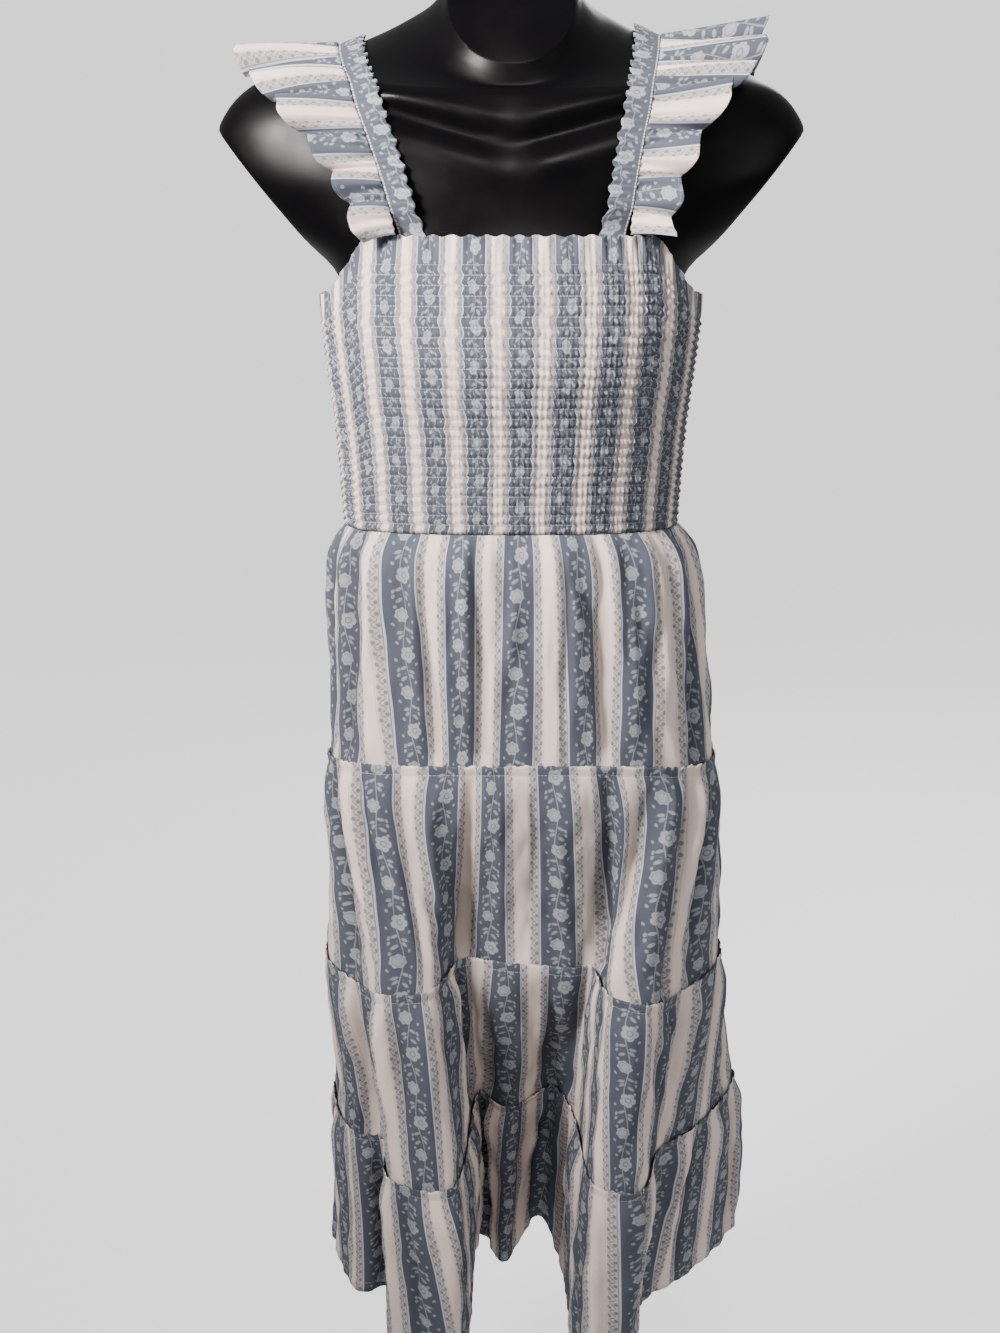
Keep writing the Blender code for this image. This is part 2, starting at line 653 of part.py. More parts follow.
def stand(material, collection):
    """Round steel base plate and the post that carries the form, set to one side inside the skirt."""
    bpy.ops.mesh.primitive_cylinder_add(vertices=48, radius=BASE_RADIUS, depth=BASE_THICKNESS,
                                        location=(0.0, 0.0, BASE_THICKNESS / 2.0))
    base = bpy.context.object
    base.name = "stand_base"
    bevel = base.modifiers.new("rounded rim", "BEVEL")
    bevel.width = BASE_EDGE
    bevel.segments = 1
    bevel.limit_method = "ANGLE"
    bottom = BASE_THICKNESS + SEAM_GAP
    top = SHOULDER_Z - FORM_SECTIONS[-1].drop - SEAM_GAP
    bpy.ops.mesh.primitive_cylinder_add(vertices=16, radius=POST_RADIUS, depth=top - bottom,
                                        location=(POST_X, POST_Y, (top + bottom) / 2.0))
    post = bpy.context.object
    post.name = "stand_post"
    for obj in (base, post):
        obj.data.materials.append(material)
        obj.data.shade_smooth()
        obj.data.set_sharp_from_angle(angle=math.radians(40.0))
        for old in list(obj.users_collection):
            old.objects.unlink(obj)
        collection.objects.link(obj)


def surface_tree(*objects):
    """Search tree over the faces of several objects that sit at the origin."""
    points = []
    faces = []
    for obj in objects:
        start = len(points)
        points += [v.co.copy() for v in obj.data.vertices]
        faces += [tuple(start + i for i in p.vertices) for p in obj.data.polygons]
    return BVHTree.FromPolygons(points, faces)


def main():
    clear_scene()
    parts = make_collection("tiered midi dress")
    print_cotton = make_material("striped print cotton", (0.33, 0.37, 0.44), 0.85)
    form_plastic = make_material("black form plastic", (0.012, 0.012, 0.014), 0.25)
    stand_steel = make_material("brushed stand steel", (0.42, 0.42, 0.43), 0.35, 1.0)

    form = torso_form(form_plastic, parts)
    stand(stand_steel, parts)
    form_tree = surface_tree(form)
    bodice_front = bodice_panel("bodice_front", form_tree, 0.0, print_cotton, parts)
    bodice_back = bodice_panel("bodice_back", form_tree, 0.5, print_cotton, parts)
    for tier in range(len(TIER_DROPS) - 1):
        tier_panel(f"tier_{tier + 1}_front", tier, 0.0, print_cotton, parts)
        tier_panel(f"tier_{tier + 1}_back", tier, 0.5, print_cotton, parts)
    tree = surface_tree(form, bodice_front, bodice_back)
    for side, word in ((-1.0, "right"), (1.0, "left")):
        strap(f"strap_{word}", tree, side, print_cotton, parts)
        ruffle(f"ruffle_{word}", tree, side, print_cotton, parts)


main()
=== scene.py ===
import math
from collections import namedtuple

import bpy
import numpy as np
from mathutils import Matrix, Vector
from mathutils.bvhtree import BVHTree


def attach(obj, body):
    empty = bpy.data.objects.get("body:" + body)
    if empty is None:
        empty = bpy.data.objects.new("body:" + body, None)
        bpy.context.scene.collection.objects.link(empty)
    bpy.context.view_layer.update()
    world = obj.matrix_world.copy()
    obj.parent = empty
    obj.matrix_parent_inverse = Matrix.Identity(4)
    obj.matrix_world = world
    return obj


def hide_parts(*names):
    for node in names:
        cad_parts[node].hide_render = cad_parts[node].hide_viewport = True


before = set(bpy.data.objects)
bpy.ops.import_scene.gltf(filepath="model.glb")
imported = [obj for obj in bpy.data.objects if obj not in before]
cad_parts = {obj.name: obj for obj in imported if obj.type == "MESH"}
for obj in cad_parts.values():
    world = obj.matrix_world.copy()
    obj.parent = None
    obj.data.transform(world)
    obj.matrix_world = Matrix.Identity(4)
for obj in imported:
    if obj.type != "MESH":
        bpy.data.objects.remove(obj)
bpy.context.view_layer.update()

# Torso form: a smooth, glossy black moulded shell without limbs. Its neck ends in a steep flat plate and
# each arm in a flat slanted cut with a rounded rim. It carries the dress.

SHOULDER_Z = 1.360
FORM_ROUNDNESS = 2.15
FORM_SIDES = 288
FORM_ROWS = 120
ARM_CUT_X = 0.226
ARM_CUT_DROP = 0.074
ARM_CUT_SLOPE = 0.82
ARM_CUT_END = 0.185
ARM_RIM = 0.0011
COLLAR_DROP = 0.081
COLLAR_RISE = 0.27
COLLAR_BEND = 0.006
COLLAR_RELIEF = 0.0050
COLLAR_HALF = 0.085
COLLAR_FADE = 0.045
THROAT_HALF = 0.030

CollarWave = namedtuple("CollarWave", "height below width")
COLLAR_WAVES = (
    CollarWave(0.80, -0.017, 0.0115),
    CollarWave(-1.00, 0.000, 0.0085),
    CollarWave(0.85, 0.020, 0.0145),
)
FormSection = namedtuple("FormSection", "drop half_width front back slant")
FORM_SECTIONS = tuple(FormSection(*row) for row in (
    (-0.036, 0.0500, 0.0500, 0.0520, 1.10), (-0.020, 0.0570, 0.0510, 0.0580, 0.95),
    (-0.005, 0.0740, 0.0520, 0.0630, 0.78), (0.004, 0.1020, 0.0540, 0.0650, 0.62),
    (0.012, 0.1350, 0.0550, 0.0650, 0.48), (0.020, 0.1720, 0.0560, 0.0640, 0.35),
    (0.032, 0.2040, 0.0600, 0.0660, 0.22), (0.050, 0.2240, 0.0650, 0.0690, 0.12),
    (0.074, 0.2340, 0.0700, 0.0740, 0.05), (0.106, 0.2260, 0.0780, 0.0790, 0.00),
    (0.140, 0.1880, 0.0840, 0.0810, 0.00), (0.178, 0.1400, 0.0965, 0.0850, 0.00),
    (0.245, 0.1400, 0.1130, 0.0830, 0.00), (0.300, 0.1330, 0.1010, 0.0780, 0.00),
    (0.370, 0.1280, 0.0880, 0.0740, 0.00), (0.425, 0.1330, 0.0880, 0.0790, 0.00),
    (0.500, 0.1420, 0.0920, 0.0880, 0.00), (0.580, 0.1340, 0.0820, 0.0790, 0.00),
    (0.595, 0.1180, 0.0640, 0.0620, 0.00),
))


def mix(a, b, share):
    return a + (b - a) * share


def ease(x):
    x = np.clip(x, 0.0, 1.0)
    return x * x * (3.0 - 2.0 * x)


def hermite(p0, p1, m0, m1, t):
    t2 = t * t
    t3 = t2 * t
    return (2 * t3 - 3 * t2 + 1) * p0 + (t3 - 2 * t2 + t) * m0 + (3 * t2 - 2 * t3) * p1 + (t3 - t2) * m1


def along(keys, values, at):
    """Smooth curve through values given at rising keys, held at its ends."""
    keys = np.asarray(keys, float)
    values = np.asarray(values, float)
    at = np.clip(np.asarray(at, float), keys[0], keys[-1])
    i = np.clip(np.searchsorted(keys, at, side="right") - 1, 0, len(keys) - 2)
    k = np.arange(len(keys))
    low = np.maximum(k - 1, 0)
    high = np.minimum(k + 1, len(keys) - 1)
    slope = (values[high] - values[low]) / (keys[high] - keys[low])
    span = keys[i + 1] - keys[i]
    return hermite(values[i], values[i + 1], slope[i] * span, slope[i + 1] * span, (at - keys[i]) / span)


def oval(half_width, front, back, turn, roundness):
    """x and y of a rounded oval, whose front and back are of unlike depth, at each turn."""
    c = np.cos(2.0 * np.pi * turn)
    s = np.sin(2.0 * np.pi * turn)
    depth = np.where(s > 0, front, back)
    x = -half_width * np.sign(c) * np.abs(c) ** (2.0 / roundness)
    y = -depth * np.sign(s) * np.abs(s) ** (2.0 / roundness)
    return x, y


def columns_of(table):
    return [np.array(column, float) for column in zip(*table)]


def grid_faces(rows, columns, closed=False):
    """Faces of a grid of points, rows from top to bottom, facing out of a ring run in turn order."""
    faces = []
    for r in range(rows - 1):
        for c in range(columns if closed else columns - 1):
            a = r * columns + c
            b = r * columns + (c + 1) % columns
            faces.append((a, a + columns, b + columns, b))
    return faces


def capped_faces(rows, columns):
    """Faces of closed rings of points, with a flat face over each end."""
    faces = grid_faces(rows, columns, closed=True)
    faces.append(tuple(range(columns)))
    faces.append(tuple(reversed(range((rows - 1) * columns, rows * columns))))
    return faces


def add_piece(name, points, faces, material, slot, nodes, smooth_angle=60.0):
    """New mesh object that rides on the part and stands for CAD nodes."""
    mesh = bpy.data.meshes.new(name)
    mesh.from_pydata(np.asarray(points, float).reshape(-1, 3).tolist(), [], faces)
    mesh.materials.append(material)
    mesh.shade_smooth()
    mesh.set_sharp_from_angle(angle=math.radians(smooth_angle))
    piece = bpy.data.objects.new(name, mesh)
    bpy.context.scene.collection.objects.link(piece)
    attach(piece, "root")
    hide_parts(*nodes)
    return piece


def collar_relief(x, y, drop):
    """Soft hollow under each collarbone, with the bone above it and the chest below it."""
    line = COLLAR_DROP - COLLAR_RISE * np.sqrt(x * x + COLLAR_BEND ** 2)
    relief = sum(wave.height * np.exp(-((drop - line - wave.below) / wave.width) ** 2) for wave in COLLAR_WAVES)
    aside = np.abs(x)
    sides = (1.0 - ease((aside - COLLAR_HALF) / COLLAR_FADE)) * mix(0.30, 1.0, ease(aside / THROAT_HALF))
    return COLLAR_RELIEF * relief * sides * np.where(y < 0.0, 1.0, 0.0)


def form_surface():
    """Rows of points down the torso, evenly spaced over its sections."""
    drops, half_widths, fronts, backs, slants = columns_of(FORM_SECTIONS)
    keys = np.arange(len(drops))
    at = np.linspace(0.0, len(drops) - 1.0, FORM_ROWS)[:, None]
    turn = (np.arange(FORM_SIDES) / FORM_SIDES)[None, :]
    level, half_width, front, back, slant = (
        along(keys, column, at) for column in (drops, half_widths, fronts, backs, slants))
    x, y = oval(half_width, front, back, turn, FORM_ROUNDNESS)
    drop = level - slant * y
    limit = ARM_CUT_X - ARM_CUT_SLOPE * (drop - ARM_CUT_DROP)
    beyond = np.abs(x) - limit
    held = np.abs(x) - ARM_RIM * np.logaddexp(0.0, beyond / ARM_RIM)
    x = np.where(drop < ARM_CUT_END, np.sign(x) * held, x)
    return np.stack([x, y - collar_relief(x, y, drop), SHOULDER_Z - drop], axis=-1)


def new_material(name):
    material = bpy.data.materials.new(name)
    material.use_nodes = True
    tree = material.node_tree
    return material, tree, tree.nodes["Principled BSDF"]


def add_node(tree, kind, inputs=None, **settings):
    """New shader node with its settings made, and each named input linked to a socket or set to a value."""
    node = tree.nodes.new("ShaderNode" + kind)
    for key, value in settings.items():
        setattr(node, key, value)
    for key, value in (inputs or {}).items():
        if isinstance(value, bpy.types.NodeSocket):
            tree.links.new(value, node.inputs[key])
        else:
            node.inputs[key].default_value = value
    return node


def object_noise(tree, scale, detail):
    """Noise in the object's own metres."""
    place = add_node(tree, "TexCoord").outputs["Object"]
    inputs = {"Scale": scale, "Detail": detail, "Roughness": 0.55, "Vector": place}
    return add_node(tree, "TexNoise", inputs).outputs["Fac"]


def spread(tree, source, low, high, to_low, to_high):
    """Source mapped from low..high to to_low..to_high."""
    inputs = {"From Min": low, "From Max": high, "To Min": to_low, "To Max": to_high, "Value": source}
    return add_node(tree, "MapRange", inputs).outputs["Result"]


def add_bump(tree, shader, height, strength, distance):
    bump = add_node(tree, "Bump", {"Strength": strength, "Distance": distance, "Height": height})
    tree.links.new(bump.outputs["Normal"], shader.inputs["Normal"])


def gloss_plastic():
    """Black moulded plastic: smears change its gloss, and the skin is faintly uneven."""
    material, tree, shader = new_material("gloss black plastic")
    shader.inputs["Base Color"].default_value = (0.0012, 0.0010, 0.0014, 1.0)
    shader.inputs["Specular IOR Level"].default_value = 0.11
    smears = spread(tree, object_noise(tree, 14.0, 5.0), 0.35, 0.70, 0.27, 0.44)
    tree.links.new(smears, shader.inputs["Roughness"])
    add_bump(tree, shader, object_noise(tree, 60.0, 2.0), 0.12, 0.0006)
    return material


form_points = form_surface()
form_faces = capped_faces(FORM_ROWS, FORM_SIDES)
form = add_piece("gloss_torso_form", form_points, form_faces, gloss_plastic(), "form_plastic",
                 ["torso_form"], 38.0)
rim = form.modifiers.new("moulded rims", "BEVEL")
rim.width = 0.0022
rim.segments = 3
rim.limit_method = "ANGLE"
rim.angle_limit = math.radians(48.0)
form_tree = BVHTree.FromPolygons(form_points.reshape(-1, 3).tolist(), form_faces)

# Stand: a round steel base plate with an eased rim, and a straight post that enters the form's underside.
# Both are satin grey metal.

POST_RADIUS = 0.011
POST_X = -0.068
POST_Y = -0.020
BASE_RADIUS = 0.165
BASE_THICKNESS = 0.008
BASE_EDGE = 0.002
BASE_FLAT = 0.03
SEAM_GAP = 0.0003
STAND_SIDES = 96


def turned(profile, centre_x, centre_y):
    """Points of a turned piece from its (radius, height) profile, top to bottom."""
    turn = 2.0 * np.pi * np.arange(STAND_SIDES) / STAND_SIDES
    rows = [np.stack([centre_x - radius * np.cos(turn), centre_y - radius * np.sin(turn), np.full(STAND_SIDES, z)],
                     axis=-1) for radius, z in profile]
    return np.array(rows), capped_faces(len(profile), STAND_SIDES)


def rounded_edge(radius, height, size, top):
    """Quarter round of a rim, from the flat to the side, or back at the underside."""
    steps = np.linspace(0.0, 0.5 * math.pi, 7)
    if top:
        return [(radius - size + size * math.sin(a), height - size + size * math.cos(a)) for a in steps]
    return [(radius - size + size * math.cos(a), height + size - size * math.sin(a)) for a in steps]


def blend_colour(tree, mask, under, over, how="MIX"):
    """Colour over laid on under by a mask. Each is a value or a socket."""
    inputs = {"Factor": mask, "A": under, "B": over}
    return add_node(tree, "Mix", inputs, data_type="RGBA", blend_type=how).outputs["Result"]


def satin_steel():
    """Grey lacquered steel with a faint grain and slightly uneven gloss."""
    material, tree, shader = new_material("satin grey steel")
    shader.inputs["Metallic"].default_value = 1.0
    grain = blend_colour(tree, object_noise(tree, 45.0, 5.0), (0.33, 0.33, 0.34, 1.0), (0.46, 0.46, 0.47, 1.0))
    tree.links.new(grain, shader.inputs["Base Color"])
    gloss = spread(tree, object_noise(tree, 220.0, 3.0), 0.3, 0.7, 0.28, 0.44)
    tree.links.new(gloss, shader.inputs["Roughness"])
    add_bump(tree, shader, object_noise(tree, 900.0, 2.0), 0.10, 0.0002)
    return material


steel = satin_steel()
base_profile = [(BASE_FLAT, BASE_THICKNESS)] + rounded_edge(BASE_RADIUS, BASE_THICKNESS, BASE_EDGE, True)
base_profile += rounded_edge(BASE_RADIUS, 0.0, BASE_EDGE * 0.5, False) + [(BASE_FLAT, 0.0)]
add_piece("steel_base_plate", *turned(base_profile, 0.0, 0.0), steel, "stand_steel", ["stand_base"], 40.0)
post_top = SHOULDER_Z - FORM_SECTIONS[-1].drop - SEAM_GAP
post_bottom = BASE_THICKNESS + SEAM_GAP
post_profile = [(POST_RADIUS, post_top), (POST_RADIUS, post_bottom)]
add_piece("steel_post", *turned(post_profile, POST_X, POST_Y), steel, "stand_steel", ["stand_post"], 40.0)

# Smocked bodice: two panels of printed cotton, front and back, each gathered by rows of elastic thread
# into small puffs. The plain heading above the first row stands up as a narrow frill.

WAIST_DROP = 0.375
TOP_DROP_FRONT = 0.147
TOP_DROP_BACK = 0.156
TOP_DROP_SIDE = 0.192
BODICE_HEADING = 0.021
SMOCKING_ROWS = 27
SMOCKING_RELIEF = 0.0016
PUCKER_RELIEF = 0.0017
PUCKERS = 98
BODICE_COLUMNS = 3 * PUCKERS
ROWS_PER_PUFF = 4
HEADING_ROWS = 9
BODICE_WALL = 0.0016
FORM_CLEARANCE = 0.0025
SIDE_GAP = 0.0005
CLOTH_ROUNDNESS = 2.25
CLOTH_THICKNESS = 0.0006
PRINT_REPEAT = 0.055
SMOCKED_REPEAT = 0.0345
FRONT_CREAM_STRIPE = 0.0243
EVEN_DROP = 0.260
BODICE_SAMPLES = 400
SCOOP_START = 0.68
SCOOP_SPAN = 0.30
HEADING_RIPPLE = 0.0016
HEADING_FRILL = 0.0009
RIPPLE_PITCH = 0.0131
ROW_JITTER = 0.0012
DROP_STRETCH = 1.05
WANDER_KEYS = 40

SLATE = (0.076, 0.087, 0.115, 1.0)
PALE_INK = (0.320, 0.340, 0.370, 1.0)
OFF_WHITE = (0.560, 0.505, 0.485, 1.0)
VINE_GREY = (0.150, 0.152, 0.165, 1.0)
WARM_CREAM = (0.830, 0.690, 0.630, 1.0)
LINE_BLUE = (0.480, 0.520, 0.620, 1.0)
THREAD_WHITE = (0.620, 0.610, 0.610, 1.0)
# Darkest painted shade: the share by which the colour is darkened where the folds map's X is 1.
PAINTED_SHADE_STRENGTH = 0.34

# The print, in millimetres from the middle of a slate stripe.
MILLIMETRES = 1000.0
SLATE_HALF = 13.6
FLOWER_PITCH = 31.0
REPEAT_SHIFT = 23.0
VINE_ASIDE = 18.2
VINE_PITCH = 9.0

TIER_DROPS = (WAIST_DROP, 0.567, 0.751, 0.926, 1.105)
SIDE_DROOPS = (0.004, 0.016, 0.022, 0.022, 0.010)

Section = namedtuple("Section", "drop half_width front back")
BODICE_SECTIONS = (
    Section(0.140, 0.1490, 0.0960, 0.0900),
    Section(0.200, 0.1530, 0.1130, 0.0930),
    Section(0.245, 0.1490, 0.1200, 0.0910),
    Section(0.300, 0.1425, 0.1080, 0.0870),
    Section(WAIST_DROP, 0.1375, 0.0950, 0.0830),
)


class Signal:
    """A number that changes over the cloth, as a socket in a node tree."""

    def __init__(self, tree, socket):
        self.tree = tree
        self.socket = socket

    def math(self, operation, *others):
        values = [value.socket if isinstance(value, Signal) else value for value in (self, *others)]
        node = add_node(self.tree, "Math", dict(enumerate(values)), operation=operation)
        return Signal(self.tree, node.outputs[0])

    def __add__(self, other):
        return self.math("ADD", other)

    def __sub__(self, other):
        return self.math("SUBTRACT", other)

    def __mul__(self, other):
        return self.math("MULTIPLY", other)

    def __truediv__(self, other):
        return self.math("DIVIDE", other)

    def both(self, other):
        return self.math("MINIMUM", other)

    def either(self, other):
        return self.math("MAXIMUM", other)

    def without(self, other):
        return self.math("MULTIPLY", other.flipped())

    def flipped(self):
        return self * -1.0 + 1.0

    def size(self):
        return self.math("ABSOLUTE")

    def below(self, limit, blur):
        """1 where the signal is below the limit, with a soft edge."""
        return ((self - limit) / -blur + 0.5).clamped()

    def clamped(self):
        return self.math("MINIMUM", 1.0).math("MAXIMUM", 0.0)

    def within(self, low, high, blur):
        return self.below(high, blur).without(self.below(low, blur))

    def wrapped(self, period):
        """The signal folded into -period/2..period/2."""
        return (self + period / 2.0).math("FLOORED_MODULO", period) - period / 2.0

    def count(self, period):
        return (self / period + 0.5).math("FLOOR")

    def sine(self, wavelength, phase=0.0):
        return (self * (2.0 * math.pi / wavelength) + phase).math("SINE")


def length_of(a, b):
    return (a * a + b * b).math("SQRT")


GarlandLeaf = namedtuple("GarlandLeaf", "x y lean long wide")
GARLAND_LEAVES = tuple(GarlandLeaf(*row) for row in (
    (3.6, -4.2, 0.9, 2.9, 1.3), (-3.4, -1.8, -0.8, 2.7, 1.2), (3.9, 1.6, 1.2, 2.6, 1.3),
    (-3.2, 4.4, -1.1, 2.8, 1.2), (7.4, -1.4, 0.4, 1.7, 1.0), (-7.2, 2.6, -0.3, 1.8, 1.0),
    (6.6, -9.4, 0.2, 1.3, 1.1), (-7.0, -6.8, 0.5, 1.4, 1.1), (8.6, 7.8, -0.6, 1.5, 1.0),
    (-8.4, 10.6, 0.3, 1.3, 1.0),
))


def new_group(name, inputs, outputs):
    """Node group with sockets of the given kinds for its inputs and number sockets for its outputs."""
    group = bpy.data.node_groups.new(name, "ShaderNodeTree")
    for socket, kind in inputs:
        group.interface.new_socket(socket, in_out="INPUT", socket_type=kind)
    for socket in outputs:
        group.interface.new_socket(socket, in_out="OUTPUT", socket_type="NodeSocketFloat")
    return group, group.nodes.new("NodeGroupInput"), group.nodes.new("NodeGroupOutput")


def floral_stripe_group():
    """The cotton's print: slate stripes that carry a flower garland, and cream stripes edged by a vine.

    Cloth is a place in the cloth, in metres. Ink is 1 on pale motifs over slate, Vine on grey ones over cream.
    """
    group, entry, result = new_group(
        "floral stripe print", (("Cloth", "NodeSocketVector"), ("Vine Ground", "NodeSocketFloat")),
        ("Slate", "Ink", "Line", "Vine", "Cream"))
    split = add_node(group, "SeparateXYZ", {"Vector": entry.outputs["Cloth"]})
    across_cloth = Signal(group, split.outputs["X"]) * MILLIMETRES
    repeat = PRINT_REPEAT * MILLIMETRES
    x = across_cloth.wrapped(repeat)
    y = Signal(group, split.outputs["Y"]) * MILLIMETRES + across_cloth.count(repeat) * REPEAT_SHIFT
    aside = x.size()

    slate = aside.below(SLATE_HALF, 0.45)
    pale_line = aside.within(SLATE_HALF - 0.1, SLATE_HALF + 0.9, 0.4)

    parity = y.count(FLOWER_PITCH).math("FLOORED_MODULO", 2.0)
    side = parity * 2.0 - 1.0
    in_cell = y.wrapped(FLOWER_PITCH)
    fx = x - side * 1.6
    radius = length_of(fx, in_cell)
    angle = fx.math("ARCTAN2", in_cell)
    five_fold = angle * 2.5 + 0.35
    petals = five_fold.math("SINE").size().math("SQRT") * 2.2 + 4.4
    open_flower = (radius - petals).below(0.0, 0.8)
    veins = five_fold.math("COSINE").size().below(0.10, 0.16).both(radius.within(2.4, 5.2, 0.8))
    open_flower = open_flower.without(veins * 0.35).without(radius.within(1.7, 2.5, 0.7) * 0.75)
    ring_edge = (angle * 7.0).math("COSINE") * 0.45 + 5.4
    ring_flower = (radius - ring_edge).below(0.0, 0.8).without(radius.within(3.3, 4.1, 0.7) * 0.45)
    spokes = (angle * 3.0 + 0.4).math("COSINE").size().below(0.22, 0.2)
    ring_flower = ring_flower.without(spokes.both(radius.within(1.2, 3.0, 0.6)) * 0.5)
    flowers = (open_flower * parity).either(ring_flower * parity.flipped())

    stem = (x - y.sine(2.0 * FLOWER_PITCH, 1.2) * 2.0).size().below(0.40, 0.5)
    garland = flowers.either(stem * 0.65)
    half = (y + FLOWER_PITCH / 2.0).wrapped(FLOWER_PITCH)
    for shift_x, shift_y, lean, long, wide in GARLAND_LEAVES:
        px = x - side * shift_x
        py = half - shift_y
        tilt = side * lean
        along_x = px * tilt.math("COSINE") + py * tilt.math("SINE")
        along_y = py * tilt.math("COSINE") - px * tilt.math("SINE")
        garland = garland.either(length_of(along_x / wide, along_y / long).below(1.0, 0.5) * 0.75)
    ink = garland * slate

    run = y.sine(VINE_PITCH) * 1.5
    vine_x = aside - VINE_ASIDE
    tendril = (vine_x - run).size().below(0.45, 0.6)
    upper = length_of((vine_x + 1.7) / 1.25, (y.wrapped(VINE_PITCH) - 1.9) / 1.9).below(1.0, 0.5)
    lower_y = (y + VINE_PITCH / 2.0).wrapped(VINE_PITCH) - 1.6
    lower = length_of((vine_x - 1.9) / 1.25, lower_y / 1.8).below(1.0, 0.5)
    bud = length_of(vine_x - run * 0.5, y.wrapped(VINE_PITCH / 2.0)).below(0.95, 0.8)
    edge_line = aside.within(14.6, 15.3, 0.4).either(aside.within(21.9, 22.4, 0.5) * 0.45)
    vine = aside.within(14.4, 20.8, 1.6) * Signal(group, entry.outputs["Vine Ground"])
    for motif, strength in ((tendril, 0.75), (upper, 0.9), (lower, 0.8), (bud, 0.8), (edge_line, 0.8)):
        vine = vine.either(motif * strength)
    cream = aside.within(21.2, 40.0, 1.2)
    for place, signal in zip(result.inputs, (slate, ink, pale_line, vine, cream)):
        group.links.new(signal.socket, place)
    return group


def cotton_weave_group():
    """Plain weave of thin cotton: Tone varies about 1 with slubs and threads, Height lifts the threads."""
    group, entry, result = new_group("cotton weave", (("Cloth", "NodeSocketVector"),), ("Tone", "Height"))
    noises = []
    for stretch, scale in (((9.0, 1.0, 1.0), 320.0), ((1.0, 9.0, 1.0), 320.0), ((1.0, 1.0, 1.0), 26.0)):
        place = add_node(group, "Mapping", {"Scale": stretch, "Vector": entry.outputs["Cloth"]})
        noise = add_node(group, "TexNoise", {"Scale": scale, "Detail": 2.0, "Vector": place.outputs["Vector"]})
        noises.append(Signal(group, noise.outputs["Fac"]))
    warp, weft, crumple = noises
    threads = (warp + weft) * 0.5
    tone = (threads - 0.5) * 0.60 + (crumple - 0.5) * 0.22 + 1.0
    height = threads * 0.35 + crumple
    group.links.new(tone.socket, result.inputs["Tone"])
    group.links.new(height.socket, result.inputs["Height"])
    return group


floral_stripe = floral_stripe_group()
cotton_weave = cotton_weave_group()


def cloth_layer(tree, name):
    """One of a cloth piece's UV layers: its place, and its two numbers."""
    layer = add_node(tree, "UVMap", uv_map=name).outputs["UV"]
    split = add_node(tree, "SeparateXYZ", {"Vector": layer})
    return layer, Signal(tree, split.outputs["X"]), Signal(tree, split.outputs["Y"])


def print_cotton(name, stitch_pitch, thread_half_width, thread_cover, vine_ground):
    """Printed cotton in its own cloth metres, with pale dashes of thread where the seam map's Y is 0."""
    material, tree, shader = new_material(name)
    cloth = cloth_layer(tree, "cloth")[0]
    pattern = add_node(tree, "Group", {"Cloth": cloth, "Vine Ground": vine_ground}, node_tree=floral_stripe)
    weave = add_node(tree, "Group", {"Cloth": cloth}, node_tree=cotton_weave)
    colour = OFF_WHITE
    for mask, ink in (("Cream", WARM_CREAM), ("Vine", VINE_GREY), ("Slate", SLATE), ("Line", LINE_BLUE),
                      ("Ink", PALE_INK)):
        colour = blend_colour(tree, pattern.outputs[mask], colour, ink)
    _, along_seam, from_seam = cloth_layer(tree, "seam")
    line = from_seam.size().below(thread_half_width, thread_half_width)
    dash = along_seam.wrapped(stitch_pitch).size().below(stitch_pitch * 0.37, stitch_pitch * 0.1)
    thread = line * dash
    colour = blend_colour(tree, (thread * thread_cover).socket, colour, THREAD_WHITE)
    # Painted shade: the colour is multiplied down where the folds map's X is above 0, in creases, troughs and
    # thread rows, on top of the weave's random tone.
    _, hollow, _ = cloth_layer(tree, "folds")
    tone = Signal(tree, weave.outputs["Tone"]) * (hollow * -PAINTED_SHADE_STRENGTH + 1.0)
    shade = blend_colour(tree, 1.0, colour, tone.socket, "MULTIPLY")
    tree.links.new(shade, shader.inputs["Base Color"])
    shader.inputs["Roughness"].default_value = 0.88
    shader.inputs["Specular IOR Level"].default_value = 0.20
    shader.inputs["Sheen Weight"].default_value = 0.05
    shader.inputs["Sheen Roughness"].default_value = 0.6
    height = Signal(tree, weave.outputs["Height"]) + thread * 0.8
    add_bump(tree, shader, height.socket, 0.45, 0.0009)
    return material


def bodice_top_drop(turn):
    sideways = np.abs(np.cos(2.0 * np.pi * turn))
    centre = np.where((turn % 1.0) <= 0.5, TOP_DROP_FRONT, TOP_DROP_BACK)
    return mix(centre, TOP_DROP_SIDE, ease((sideways - SCOOP_START) / SCOOP_SPAN))


def side_droop(turn, drop):
    return along(TIER_DROPS, SIDE_DROOPS, drop) * np.cos(2.0 * np.pi * turn) ** 2


def ring_at(sections, turn, drop):
    """x and y of the worn cloth's ring at each drop, between its sections."""
    drops, *columns = columns_of(sections)
    return oval(*(along(drops, column, drop) for column in columns), turn, CLOTH_ROUNDNESS)


def bodice_place(turn, drop):
    x, y = ring_at(BODICE_SECTIONS, turn, drop)
    return np.stack([x, y, SHOULDER_Z - drop + 0.0 * x], axis=-1)


def unit(vectors):
    return vectors / np.maximum(np.linalg.norm(vectors, axis=-1, keepdims=True), 1e-12)


def paired(first, second):
    """Two grids, spread to one shape, as the two numbers of each point."""
    return np.stack(np.broadcast_arrays(first, second), axis=-1)


def waves(lengths, pitch, phase=0.0):
    return np.sin(2.0 * np.pi * lengths / pitch + phase)


def level_outward(place, turn, drop):
    """Level direction straight out of a ring given as place(turn, drop)."""
    tangent = place(turn + 0.004, drop) - place(turn - 0.004, drop)
    return unit(np.stack([tangent[..., 1], -tangent[..., 0], 0.0 * tangent[..., 0]], axis=-1))


